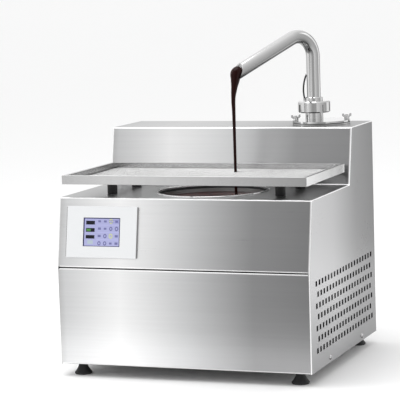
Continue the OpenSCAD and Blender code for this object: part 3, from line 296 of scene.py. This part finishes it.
finishes["satin_steel"] = satin_sheet("satin_steel", LEVEL_BRUSHING, tone=0.7, rough=0.3)
print("satin grain is stretched", round(1 / LEVEL_BRUSHING[0]), "times along the sheet")

# %% [markdown]
# The spout and the union are polished, the tray a little less, and the inner pieces are plain mill
# steel. On a polish the grain is almost gone, so fine marks from wiping are left in the roughness
# only. A tube in an empty white studio would look flat. Two ramps over its normal paint the dark
# underside and the dark sides that a real room would give, as painted reflection and painted shade
# in the colour.

# %% Polished and plain steel
WIPE_SCALE, WIPE_STRETCH = 90.0, (1, 1, 0.3)
GRIME, GRIME_SHARE = grey(0.1), 0.06


def polished(name, tone, rough, marks, under, side):
    steel = Finish(name, grey(tone), Metallic=1.0)
    wipe = steel.noise(WIPE_SCALE, WIPE_STRETCH, detail=4.0)
    rising = [(0.0, under * 1.5), (0.25, under), (0.48, 0.95), (1.0, 1.0)]
    crossing = [(0.0, side), (0.28, 1.0), (0.68, 0.88), (1.0, side)]
    up = [(at, grey(tone * share)) for at, share in rising]
    across = [(at, grey(share)) for at, share in crossing]
    # Painted reflection and painted shade: darker underside and darker sides, from the normal.
    painted_height_shade = steel.ramp(steel.facing("Z") * 0.5 + 0.5, up)
    painted_side_shade = steel.ramp(steel.facing("X") * 0.5 + 0.5, across)
    shade = steel.times(painted_height_shade, painted_side_shade)
    steel.set("Base Color", steel.mix(wipe * GRIME_SHARE, shade, GRIME))
    steel.set("Roughness", rough + marks * wipe)
    return steel.material


POLISHED = {
    "polished_steel": {"tone": 0.8, "rough": 0.07, "marks": 0.06, "under": 0.22, "side": 0.35},
    "tray_steel": {"tone": 0.7, "rough": 0.2, "marks": 0.08, "under": 0.5, "side": 0.9},
    "inner_steel": {"tone": 0.5, "rough": 0.34, "marks": 0.14, "under": 0.6, "side": 0.8},
}
for name, look in POLISHED.items():
    finishes[name] = polished(name, **look)
print("steels:", ", ".join(POLISHED))

# %% [markdown]
# Moulded pieces differ in gloss more than in colour, so one recipe serves them all. Rubber is matt
# and a little dusty, and black plastic has a fine leather-like grain. The dust is a slow noise that
# lifts the colour slightly, and the grain is a bump too fine to see as shape.

# %% Rubber and plastics
PALER, DUST = 1.12, 0.004
DUST_SCALE, DUST_EDGES, DUST_GLOSS = 30.0, (0.45, 0.7), 0.12
SKIN_DEPTH = 0.2 * MM


def moulded(name, colour, rough, grain_scale, depth, coat=0.0):
    plastic = Finish(name, colour, Coat_Weight=coat)
    grain = plastic.noise(grain_scale, detail=2.0)
    dust = plastic.noise(DUST_SCALE, detail=3.0)
    pale = tuple(min(1.0, c * PALER + DUST) for c in colour)
    plastic.set("Base Color", plastic.mix(dust.fade(*DUST_EDGES), colour, pale))
    plastic.set("Roughness", rough + DUST_GLOSS * (dust - 0.5))
    plastic.bump(grain, depth, SKIN_DEPTH)
    return plastic.material


MOULDED = {
    "black_rubber": ((0.012, 0.012, 0.013), 0.62, 700.0, 0.2),
    "dark_plastic": ((0.02, 0.02, 0.023), 0.42, 900.0, 0.25),
    "red_plastic": ((0.4, 0.02, 0.02), 0.3, 300.0, 0.05, 0.3),
    "scraper_plastic": ((0.78, 0.78, 0.76), 0.45, 500.0, 0.08),
    "lead_sheath": ((0.02, 0.02, 0.022), 0.4, 900.0, 0.1),
    "heater_mat": ((0.5, 0.17, 0.05), 0.55, 450.0, 0.3),
    "gear_paint": ((0.08, 0.09, 0.11), 0.38, 600.0, 0.2, 0.25),
    "board_green": ((0.015, 0.13, 0.05), 0.32, 380.0, 0.1, 0.4),
}
for name, look in MOULDED.items():
    finishes[name] = moulded(name, *look)
print("moulded finishes:", len(MOULDED))

# %% [markdown]
# The power supply's aluminium case and the board's brass spacers are hidden inside. They get a
# short recipe: a metal whose skin is slightly cloudy, in its colour and in its gloss alike.

# %% Aluminium and brass
SKIN_SCALE, DARKER = 240.0, 0.86
SKIN_GLOSS, SKIN_BUMP = 0.16, 0.15


def cast(name, colour, rough):
    metal = Finish(name, colour, Metallic=1.0)
    skin = metal.noise(SKIN_SCALE, detail=5.0)
    dark = tuple(c * DARKER for c in colour)
    metal.set("Base Color", metal.mix(skin, dark, colour))
    metal.set("Roughness", rough + SKIN_GLOSS * (skin - 0.5))
    metal.bump(skin, SKIN_BUMP, SKIN_DEPTH)
    return metal.material


finishes["supply_case"] = cast("supply_case", (0.62, 0.63, 0.64), 0.36)
finishes["spacer_brass"] = cast("spacer_brass", (0.7, 0.5, 0.2), 0.28)
print("aluminium and brass")

# %% [markdown]
# The touch screen could be a picture on the glass, but nothing is read from disk here. It is drawn
# by sums on the glass's own place. Across and up are each counted from 0 to 1 over the window, so
# every box and line of the screen is a pair of such numbers, and stays sharp at any distance.

# %% Places on the glass
WINDOW = (63 * MM, 45.5 * MM)


def screen_place(finish, window, glass):
    low, high = glass
    edge = ((high.x - low.x) - window[0]) / 2
    rise = (high.z - low.z) - window[1]
    across = (finish.axis("X") - (low.x + edge)) / window[0]
    up = (finish.axis("Z") - (low.z + rise / 2)) / window[1]
    return across, up


def in_box(across, up, box):
    left, bottom, right, top = box
    return across.between(left, right) * up.between(bottom, top)


def off_middle(value, count):
    return ((value * count).math("FRACT") - 0.5).abs()


print("window:", [round(side / MM, 1) for side in WINDOW], "mm")

# %% [markdown]
# The icons stand in a grid. Each is a plain ring or a plain square. A white noise that has one
# value in each cell chooses between the two and sets the size, so no icon has to be placed by
# hand and no two rows look alike.

# %% Icons
ICON_COLUMNS, ICON_ROWS = 4, 4
ICON_BASE, ICON_GROWTH = 0.2, 0.16
RING_HOLE, SQUARE_FLATNESS = 0.45, 0.6


def icon_grid(finish, across, up):
    column = across * ICON_COLUMNS
    row = up * ICON_ROWS
    whole = {"X": column.math("FLOOR"), "Y": row.math("FLOOR")}
    cell = finish.node("ShaderNodeCombineXYZ", {}, whole)
    settings = {"noise_dimensions": "3D"}
    luck = finish.node("ShaderNodeTexWhiteNoise", settings, {"Vector": cell})
    x = (column.math("FRACT") - 0.5).abs()
    y = (row.math("FRACT") - 0.5).abs()
    size = ICON_BASE + ICON_GROWTH * luck
    ring = (x * x + y * y).math("SQRT")
    round_icon = ring.below(size) * ring.above(size * RING_HOLE)
    square_icon = x.below(size) * y.below(size * SQUARE_FLATNESS)
    return luck.above(0.5) * round_icon + luck.below(0.5) * square_icon, luck


print("icons:", ICON_COLUMNS * ICON_ROWS, "in a grid")

# %% [markdown]
# The screen glows a little, so the finished picture feeds both the base colour and the emission.
# It is built up like paint: a violet ground, the icons and their rules, a block of dots, then the
# black readouts with green digits at the left and a dark frame round it all.

# %% Touch screen
VIOLET, VIOLET_LOW, VIOLET_HIGH = (0.28, 0.29, 0.47), (0.3, 0.31, 0.5), (0.28, 0.285, 0.47)
NAVY, LIME, RULE, DOT = (0.08, 0.08, 0.2), (0.42, 0.45, 0.2), (0.4, 0.4, 0.66), (0.1, 0.1, 0.3)
BLACK, GREEN = (0.004, 0.004, 0.01), (0.08, 0.26, 0.05)
PALE, SURROUND = (0.32, 0.38, 0.42), (0.012, 0.012, 0.06)
READOUTS = [(0.07, 0.76, 0.31, 0.89), (0.07, 0.51, 0.31, 0.64), (0.07, 0.28, 0.31, 0.4)]
DIGITS = (0.085, 0.535, 0.2, 0.615)
STATUS = (0.12, 0.1, 0.27, 0.22)
ICON_FIELD, ICON_LEFT, ICON_W = (0.36, 0.03, 0.97, 0.97), 0.36, 0.62
ICON_STRENGTH, LIME_ABOVE = 0.8, 0.8
RULE_AT, RULE_STRENGTH = 0.47, 0.5
DOT_FIELD = (0.7, 0.8, 0.96, 0.93)
DOT_COLUMNS, DOT_ROWS, DOT_W, DOT_H = 26, 15, 0.27, 0.24
STROKES, STROKE_GAP = 40, 0.16
INSIDE_FRAME = (0.03, 0.035, 0.975, 0.965)
GLOW = 0.22


def touch_screen(window):
    screen = Finish("screen_glass", VIOLET, Roughness=0.2, Specular_IOR_Level=0.25)
    across, up = screen_place(screen, window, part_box("display_glass"))
    picture = screen.mix(up, VIOLET_LOW, VIOLET_HIGH)
    grid, luck = icon_grid(screen, (across - ICON_LEFT) / ICON_W, up)
    inner = in_box(across, up, ICON_FIELD)
    icon = screen.mix(luck.above(LIME_ABOVE), NAVY, LIME)
    picture = screen.mix(grid * inner * ICON_STRENGTH, picture, icon)
    rules = off_middle(up, ICON_ROWS).above(RULE_AT) * inner
    picture = screen.mix(rules * RULE_STRENGTH, picture, RULE)
    dots = off_middle(across, DOT_COLUMNS).below(DOT_W) * off_middle(up, DOT_ROWS).below(DOT_H)
    picture = screen.mix(dots * in_box(across, up, DOT_FIELD), picture, DOT)
    for box in READOUTS:
        picture = screen.mix(in_box(across, up, box), picture, BLACK)
    stroke = off_middle(across, STROKES).above(STROKE_GAP)
    picture = screen.mix(in_box(across, up, DIGITS) * stroke, picture, GREEN)
    picture = screen.mix(in_box(across, up, STATUS), picture, PALE)
    picture = screen.mix(1 - in_box(across, up, INSIDE_FRAME), picture, SURROUND)
    screen.set("Base Color", picture).set("Emission Color", picture)
    screen.set("Emission Strength", GLOW)
    return screen.material


finishes["screen_glass"] = touch_screen(WINDOW)
print("touch screen:", len(READOUTS), "readouts beside a grid of plain icons")

# %% [markdown]
# The bezel is smooth white plastic with a very light orange peel. It stands on the leaning sheet
# with a thin shadow line at its left, its right and below. The line is narrower than a picture's
# dot, so no lamp would show it, and it is drawn along the rim by the same sums as the screen.

# %% White bezel
RIM = (0.007, 0.009, 0.993, 2.0)
PEEL_SCALE, PEEL = 250.0, 0.03


def bezel_plastic(white, shade):
    plastic = Finish("white_plastic", white, Roughness=0.28, Coat_Weight=0.2)
    low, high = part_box("touch_bezel")
    across, up = screen_place(plastic, (high.x - low.x, high.z - low.z), (low, high))
    plastic.set("Base Color", plastic.mix(1 - in_box(across, up, RIM), white, shade))
    plastic.bump(plastic.noise(PEEL_SCALE, detail=2.0), PEEL, SKIN_DEPTH)
    return plastic.material


finishes["white_plastic"] = bezel_plastic((0.66, 0.67, 0.68), grey(0.2))
print("white bezel:", finishes["white_plastic"].name)

# %% [markdown]
# Melted chocolate is nearly black where it is thick and red-brown where light gets round a thin
# edge. Light scattered below the surface would show that, but it renders slowly and isn't baked.
# A Fresnel mask paints that light into the colour as a warmer rim instead, a painted glow, and a
# thin clear coat gives the wet gloss.

# %% Chocolate
THICK, PAINTED_SCATTER = (0.012, 0.002, 0.0015), (0.055, 0.006, 0.004)
EDGE_IOR, EDGE_SHARE = 1.3, 1.6
SWIRL_SCALE, SWIRL, SWIRL_DEPTH = 55.0, 0.1, 0.6 * MM
WET, SWIRL_GLOSS = 0.08, 0.08


def melted(name, colour):
    sauce = Finish(name, colour, Roughness=0.12, Specular_IOR_Level=0.1, Coat_Weight=0.04)
    rim = sauce.node("ShaderNodeFresnel", {}, {"IOR": EDGE_IOR})
    swirl = sauce.noise(SWIRL_SCALE, detail=2.0)
    # Painted scattered light: a warmer rim from the Fresnel mask.
    sauce.set("Base Color", sauce.mix(rim * EDGE_SHARE, THICK, PAINTED_SCATTER))
    sauce.set("Roughness", WET + SWIRL_GLOSS * swirl)
    sauce.bump(swirl, SWIRL, SWIRL_DEPTH)
    return sauce.material


finishes["chocolate"] = melted("chocolate", (0.03, 0.008, 0.005))
print("finishes:", ", ".join(sorted(finishes)))

# %% [markdown]
# Each solid of the frame keeps its mesh and gets its slot's finish. The tray is listed apart, since
# its sheet is brighter than the housing's.

# %% Dress the frame
TRAY_PIECES = ("tray_frame", "tray_grid")
slots = {part["node"]: part["material_slot"] for part in frame["record"]["subparts"]}
for name, node in frame["nodes"].items():
    finish = "tray_steel" if name in TRAY_PIECES else slots[name]
    node.data.materials.clear()
    node.data.materials.append(finishes[finish])
print("dressed", len(slots), "nodes in", len(set(slots.values())), "slots")

# %% [markdown]
# Real edges are never knife sharp, and the thin bright line along them tells the eye what a piece
# is made of. Boxy pieces get a small bevel. It is a live modifier, after a weld of the frame's
# loose triangles, so the machined mesh itself isn't touched.

# %% Soft edges on boxy pieces
WELD_REACH = 0.01 * MM
SHARP = math.radians(40)
EDGES = {
    "touch_bezel": 0.6, "display_case": 1.0, "display_clips": 0.4,
    "tray_frame": 0.35, "tray_feet": 0.6, "wing_nut_left": 0.3, "wing_nut_right": 0.3,
    "power_supply": 0.8, "control_board": 0.2, "pump_stand": 0.3,
    "agitator_gearmotor": 0.8, "pump_gearmotor": 0.8,
    "power_inlet": 0.4, "switch_frame": 0.4, "switch_rocker": 0.5,
}


def soften(name, width):
    node = frame["nodes"][name]
    weld = node.modifiers.new("weld", "WELD")
    weld.merge_threshold = WELD_REACH
    bevel = node.modifiers.new("bevel", "BEVEL")
    bevel.width = width
    bevel.segments = 2
    bevel.limit_method = "ANGLE"
    bevel.angle_limit = SHARP
    bevel.harden_normals = True


for name, width in EDGES.items():
    soften(name, width * MM)
print("softened", len(EDGES), "pieces")

# %% [markdown]
# The spout is one polished tube: a riser, a bend and a sloping arm whose mouth is cut a little off
# plumb. A mirror finish shows every flat of a coarse tube, so it is made again here, finer than
# the frame's mesh and from the same sizes. It is shaped in a plane of its own, with the arm along
# X, and OUTLET then carries it to the machine's outlet neck.

# %% Spout sizes
SPOUT_R = 11.5 * MM
SPOUT_WALL = 1.5 * MM
BEND_R = 34 * MM
SLOPE = math.radians(23)
REACH = 162 * MM
HEADING = math.radians(31.6)
MOUTH_LEAN = math.radians(22)
nut_low, nut_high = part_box("union_nut")
tube_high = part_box("spout_tube")[1]
NECK = Vector(((nut_low.x + nut_high.x) / 2, (nut_low.y + nut_high.y) / 2, 0))
BEND_Z = tube_high.z - BEND_R - SPOUT_R
COLLAR_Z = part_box("spout_collar")[0].z
ARM_X = BEND_R * (1 + math.sin(SLOPE))
ARM_Z = BEND_R * math.cos(SLOPE)
MOUTH = Vector((REACH, 0, ARM_Z - (REACH - ARM_X) * math.tan(SLOPE)))
TO_HEADING = Matrix.Rotation(-math.pi / 2 - HEADING, 4, "Z")
OUTLET = Matrix.Translation(NECK + Vector((0, 0, BEND_Z))) @ TO_HEADING
print("spout: bend starts at", round(BEND_Z / MM, 1), "mm up")
print("mouth at", [round(c / MM, 1) for c in OUTLET @ MOUTH])

# %% [markdown]
# A curve with a round bevel would give a tube too, but not a mouth that is cut on the slant. Here
# a circle is extruded for the riser, spun for the bend and extruded for an arm that is too long.
# A plane then cuts the arm at the mouth. The function makes one wall, outer or inner.

# %% Spin one wall of the tube
def verts_of(geometry):
    return [g for g in geometry if isinstance(g, bmesh.types.BMVert)]


def edges_of(geometry):
    return [g for g in geometry if isinstance(g, bmesh.types.BMEdge)]


def tube_wall(radius, sides=64, steps=28):
    wall = bmesh.new()
    bmesh.ops.create_circle(wall, segments=sides, radius=radius)
    bmesh.ops.translate(wall, vec=(0, 0, COLLAR_Z - BEND_Z), verts=wall.verts)
    riser = bmesh.ops.extrude_edge_only(wall, edges=wall.edges[:])["geom"]
    bmesh.ops.translate(wall, vec=(0, 0, BEND_Z - COLLAR_Z), verts=verts_of(riser))
    bend = bmesh.ops.spin(wall, geom=edges_of(riser), cent=(BEND_R, 0, 0), axis=(0, 1, 0),
        angle=math.pi / 2 + SLOPE, steps=steps)["geom_last"]
    arm = bmesh.ops.extrude_edge_only(wall, edges=edges_of(bend))["geom"]
    along = Vector((math.cos(SLOPE), 0, -math.sin(SLOPE)))
    spare = 4 * SPOUT_R
    bmesh.ops.translate(wall, vec=along * (REACH - ARM_X + spare), verts=verts_of(arm))
    whole = wall.verts[:] + wall.edges[:] + wall.faces[:]
    cut = Vector((math.cos(MOUTH_LEAN), 0, math.sin(MOUTH_LEAN)))
    bmesh.ops.bisect_plane(wall, geom=whole, plane_co=MOUTH, plane_no=cut, clear_outer=True)
    return wall


spout = tube_wall(SPOUT_R)
reach = max(v.co.x for v in spout.verts)
print("outer wall:", len(spout.verts), "points, reach", round(reach / MM, 1), "mm")

# %% [markdown]
# A Solidify modifier could give the wall its thickness, but not a mouth whose two rims lie in one
# slanting plane. A bmesh can hold both walls at once: the inner one is poured in through a scratch
# mesh. The rims are the edges with one face each, and bridge_loops joins them at each end.

# %% Join the walls
def into_object(shape, name, finish):
    mesh = bpy.data.meshes.new(name)
    shape.to_mesh(mesh)
    shape.free()
    mesh.materials.append(finishes[finish])
    piece = bpy.data.objects.new(name, mesh)
    bpy.context.collection.objects.link(piece)
    return piece


SPOUT_CREASE, STREAM_CREASE, POOL_CREASE = 35, 60, 50


def smooth(piece, degrees):
    piece.data.shade_smooth()
    piece.data.set_sharp_from_angle(angle=math.radians(degrees))
    return piece


def pour_in(shape, other):
    scratch = bpy.data.meshes.new("scratch")
    other.to_mesh(scratch)
    other.free()
    shape.from_mesh(scratch)
    bpy.data.meshes.remove(scratch)


pour_in(spout, tube_wall(SPOUT_R - SPOUT_WALL))
for at_mouth in (False, True):
    rim = [e for e in spout.edges if e.is_boundary and (e.verts[0].co.x > ARM_X) == at_mouth]
    bmesh.ops.bridge_loops(spout, edges=rim)
bmesh.ops.recalc_face_normals(spout, faces=spout.faces)
bmesh.ops.transform(spout, matrix=OUTLET, verts=spout.verts)
loose = sum(1 for e in spout.edges if not e.is_manifold)
pouring_spout = smooth(into_object(spout, "pouring_spout", "polished_steel"), SPOUT_CREASE)
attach(pouring_spout, "spout")
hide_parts("spout_riser", "spout_tube")
print("pouring spout:", len(pouring_spout.data.polygons), "faces,", loose, "loose edges")

# %% [markdown]
# The stream is modelled, not simulated: chocolate clings to the lower lip, bulges and then thins
# as it speeds up. It is drawn as a line of stations from inside the mouth down into the pool. Each
# station has its own radius in millimetres.

# %% Stations of the stream
FALL = Vector((34.8, -14.5, 0)) * MM
POOL_DROP = 12 * MM
LIP_REACH = 5 * MM
deck_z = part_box("bowl_bead")[0].z
POOL_Z = deck_z - POOL_DROP
mouth = OUTLET @ MOUTH
ahead = OUTLET.to_3x3() @ Vector((1, 0, 0))
lip = mouth + LIP_REACH * ahead


def lift(height):
    return Vector((0, 0, height))


IN_MOUTH = mouth - 4 * MM * ahead + lift(2.5 * MM)
AT_MOUTH = mouth + 3 * MM * ahead - lift(MM)
BELOW_LIP = lip - lift(11 * MM)
TURNING = lip.lerp(FALL + lift(lip.z), 0.5) - lift(24 * MM)
DROPS = ((40, 3.6), (62, 2.9), (100, 2.5), (150, 2.35))
STREAM = [(IN_MOUTH, 9.0), (AT_MOUTH, 9.2), (BELOW_LIP, 7.6), (TURNING, 5.2)]
STREAM += [(FALL + lift(lip.z - drop * MM), radius) for drop, radius in DROPS]
STREAM += [(FALL + lift(POOL_Z + 3 * MM), 2.3), (FALL + lift(POOL_Z - MM), 3.2)]
print("stream:", len(STREAM), "stations over", round((lip.z - POOL_Z) / MM), "mm")

# %% [markdown]
# Rings could be bridged one by one, but a curve whose points carry the radii gives the smooth skin
# between the stations at once. The curve is turned into a mesh here, so its place is in the mesh,
# and its doubled points are merged before the normals are recalculated.

# %% Chocolate stream
TWIN_REACH = 0.01 * MM
STREAM_SIDES, STREAM_STEPS = 5, 8


def tapered(name, points, finish):
    curve = bpy.data.curves.new(name, "CURVE")
    curve.dimensions = "3D"
    curve.bevel_depth = MM
    curve.bevel_resolution = STREAM_SIDES
    curve.use_fill_caps = True
    curve.resolution_u = STREAM_STEPS
    spline = curve.splines.new("BEZIER")
    spline.bezier_points.add(len(points) - 1)
    for knot, (place, radius) in zip(spline.bezier_points, points):
        knot.co = place
        knot.radius = radius
        knot.handle_left_type = knot.handle_right_type = "AUTO"
    model = bpy.data.objects.new(name, curve)
    bpy.context.collection.objects.link(model)
    mesh = bpy.data.meshes.new_from_object(model)
    bpy.data.objects.remove(model)
    shape = bmesh.new()
    shape.from_mesh(mesh)
    bmesh.ops.remove_doubles(shape, verts=shape.verts, dist=TWIN_REACH)
    bmesh.ops.recalc_face_normals(shape, faces=shape.faces)
    bpy.data.meshes.remove(mesh)
    return smooth(into_object(shape, name, finish), STREAM_CREASE)


stream = tapered("chocolate_stream", STREAM, "chocolate")
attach(stream, "spout")
print("stream:", len(stream.data.polygons), "faces")

# %% [markdown]
# The pool's surface is almost flat, but its gloss shows the smallest swell. It climbs the bowl's
# wall in a thin rim, stands in a low mound where the stream lands, and ripples faintly round it.
# A texture could bump it, but real height also bends the outline, so each point's height is
# worked out from how far it is from the wall and from the fall.

# %% Height of the pool
BOWL_R = 84.5 * MM
WALL_GAP = 0.4 * MM
POOL_R = BOWL_R - WALL_GAP
RIM_H, RIM_W = 1.2 * MM, 2.5 * MM
MOUND_H, MOUND_W = 1.6 * MM, 9 * MM
RIPPLE_H, RIPPLE_STEP, RIPPLE_W = 0.25 * MM, 3.2 * MM, 22 * MM
bowl_low, bowl_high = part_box("bowl_bead")
BOWL = Vector(((bowl_low.x + bowl_high.x) / 2, (bowl_low.y + bowl_high.y) / 2, 0))


def pool_height(place):
    from_wall = POOL_R - (place - BOWL.xy).length
    from_fall = (place - FALL.xy).length
    rim = RIM_H * math.exp(-from_wall / RIM_W)
    mound = MOUND_H * math.exp(-(from_fall / MOUND_W) ** 2)
    ripple = RIPPLE_H * math.cos(from_fall / RIPPLE_STEP) * math.exp(-from_fall / RIPPLE_W)
    return rim + mound + ripple


print("pool stands", round(pool_height(FALL.xy) / MM, 2), "mm higher at the fall")

# %% [markdown]
# A disc with one face couldn't bend, so its middle face is inset again and again, which leaves one
# ring each time. The disc stops just short of the bowl's wall. Its underside is extruded down, so
# the pool is a closed body.

# %% Chocolate pool
POOL_DEPTH = 14 * MM
POOL_SIDES = 96
RINGS, RING_W = 26, 3.1 * MM

pool = bmesh.new()
bmesh.ops.create_circle(pool, segments=POOL_SIDES, radius=POOL_R, cap_ends=True)
for ring in range(RINGS):
    middle = max(pool.faces, key=lambda f: len(f.verts))
    bmesh.ops.inset_region(pool, faces=[middle], thickness=RING_W, use_boundary=True,
        use_even_offset=True)
bmesh.ops.triangulate(pool, faces=[f for f in pool.faces if len(f.verts) > 4])
bmesh.ops.translate(pool, vec=BOWL + lift(POOL_Z), verts=pool.verts)
underside = verts_of(bmesh.ops.extrude_face_region(pool, geom=pool.faces[:])["geom"])
bmesh.ops.translate(pool, vec=(0, 0, -POOL_DEPTH), verts=underside)
for point in set(pool.verts) - set(underside):
    point.co.z += pool_height(point.co.xy)
bmesh.ops.recalc_face_normals(pool, faces=pool.faces)
surface = smooth(into_object(pool, "chocolate_surface", "chocolate"), POOL_CREASE)
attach(surface, "machine")
print("pool:", len(surface.data.polygons), "faces")

# %% [markdown]
# A studio for metal is made of what the metal mirrors. Its floor is a plain pale sheet, so wide
# that its edge lies far beyond the picture, and it takes the machine's soft shadow.

# %% Floor
FLOOR_SIZE = 60.0
floor_shape = bmesh.new()
bmesh.ops.create_grid(floor_shape, x_segments=1, y_segments=1, size=FLOOR_SIZE)
paint = Finish("floor", grey(0.94), Roughness=0.6, Specular_IOR_Level=0.2)
finishes["floor"] = paint.material
floor = into_object(floor_shape, "floor", "floor")
print("floor", 2 * FLOOR_SIZE, "m wide")

# %% [markdown]
# Two upright cards stand close by, where the metal sees them. The one before the front is
# brightest near its middle. The one to the right of the machine is bright at the front and dark at
# the back. Lamps could light the sheet instead, but a card's ramp puts each band just where it
# is wanted. The cards are hidden from the camera, cast no shadow and light nothing by bounce.

# %% Cards that the metal mirrors
FRONT_STOPS = [(0.0, 0.45), (0.28, 0.56), (0.45, 1.04), (0.55, 0.84), (0.76, 0.4), (1.0, 0.5)]
RIGHT_STOPS = [(0.0, 2.3), (0.27, 2.4), (0.43, 1.0), (0.6, 0.1), (1.0, 0.0)]
FRONT_CARD = ((-0.8, -0.42, 0.01), (0.5, -0.42, 1.1))
RIGHT_CARD = ((0.5, 0.3, 0.01), (0.5, 1.4, 1.0))


def card(name, corners, axis, stops):
    paper = Finish(name, grey(0.0), Roughness=1.0, Specular_IOR_Level=0.0, Emission_Strength=1.0)
    low, high = corners
    step = "XYZ".index(axis)
    along = (paper.axis(axis) - low[step]) / (high[step] - low[step])
    paper.set("Emission Color", paper.ramp(along, [(at, grey(glow)) for at, glow in stops]))
    finishes[name] = paper.material
    shape = bmesh.new()
    feet = [shape.verts.new((x, y, low[2])) for x, y in (low[:2], high[:2])]
    heads = [shape.verts.new((x, y, high[2])) for x, y in (high[:2], low[:2])]
    shape.faces.new(feet + heads)
    board = into_object(shape, name, name)
    board.visible_camera = False
    board.visible_shadow = False
    board.visible_diffuse = False
    return board


cards = [card("front_card", FRONT_CARD, "X", FRONT_STOPS)]
cards += [card("right_card", RIGHT_CARD, "Y", RIGHT_STOPS)]
print("cards:", [board.name for board in cards])

# %% [markdown]
# Two large soft lamps, one above and one at the left, shape the metal and its soft shadow. A sun
# would cut a hard shadow, and the photograph has none. The white world does the rest, and the
# Standard view keeps its white pure.

# %% Lights and world
AIM = (0, 0, 0.3)
WORLD_STRENGTH = 1.0
TOP_LIGHT = {"place": (-0.3, -0.3, 2.2), "size": (1.6, 1.6), "power": 18}
LEFT_LIGHT = {"place": (-1.8, -1.0, 1.4), "size": (1.0, 1.6), "power": 12}


def softbox(name, place, size, power):
    light = bpy.data.lights.new(name, "AREA")
    light.shape = "RECTANGLE"
    light.size, light.size_y = size
    light.energy = power
    lamp = bpy.data.objects.new(name, light)
    bpy.context.collection.objects.link(lamp)
    look = (Vector(AIM) - Vector(place)).to_track_quat("-Z", "Y").to_matrix().to_4x4()
    lamp.matrix_world = Matrix.Translation(place) @ look
    return lamp


lamps = [softbox("top_light", **TOP_LIGHT), softbox("left_light", **LEFT_LIGHT)]
world = bpy.data.worlds.new("studio")
world.use_nodes = True
background = world.node_tree.nodes["Background"]
background.inputs["Color"].default_value = (1, 1, 1, 1)
background.inputs["Strength"].default_value = WORLD_STRENGTH
bpy.context.scene.world = world
bpy.context.scene.view_settings.view_transform = "Standard"
print("lights:", [lamp.name for lamp in lamps])
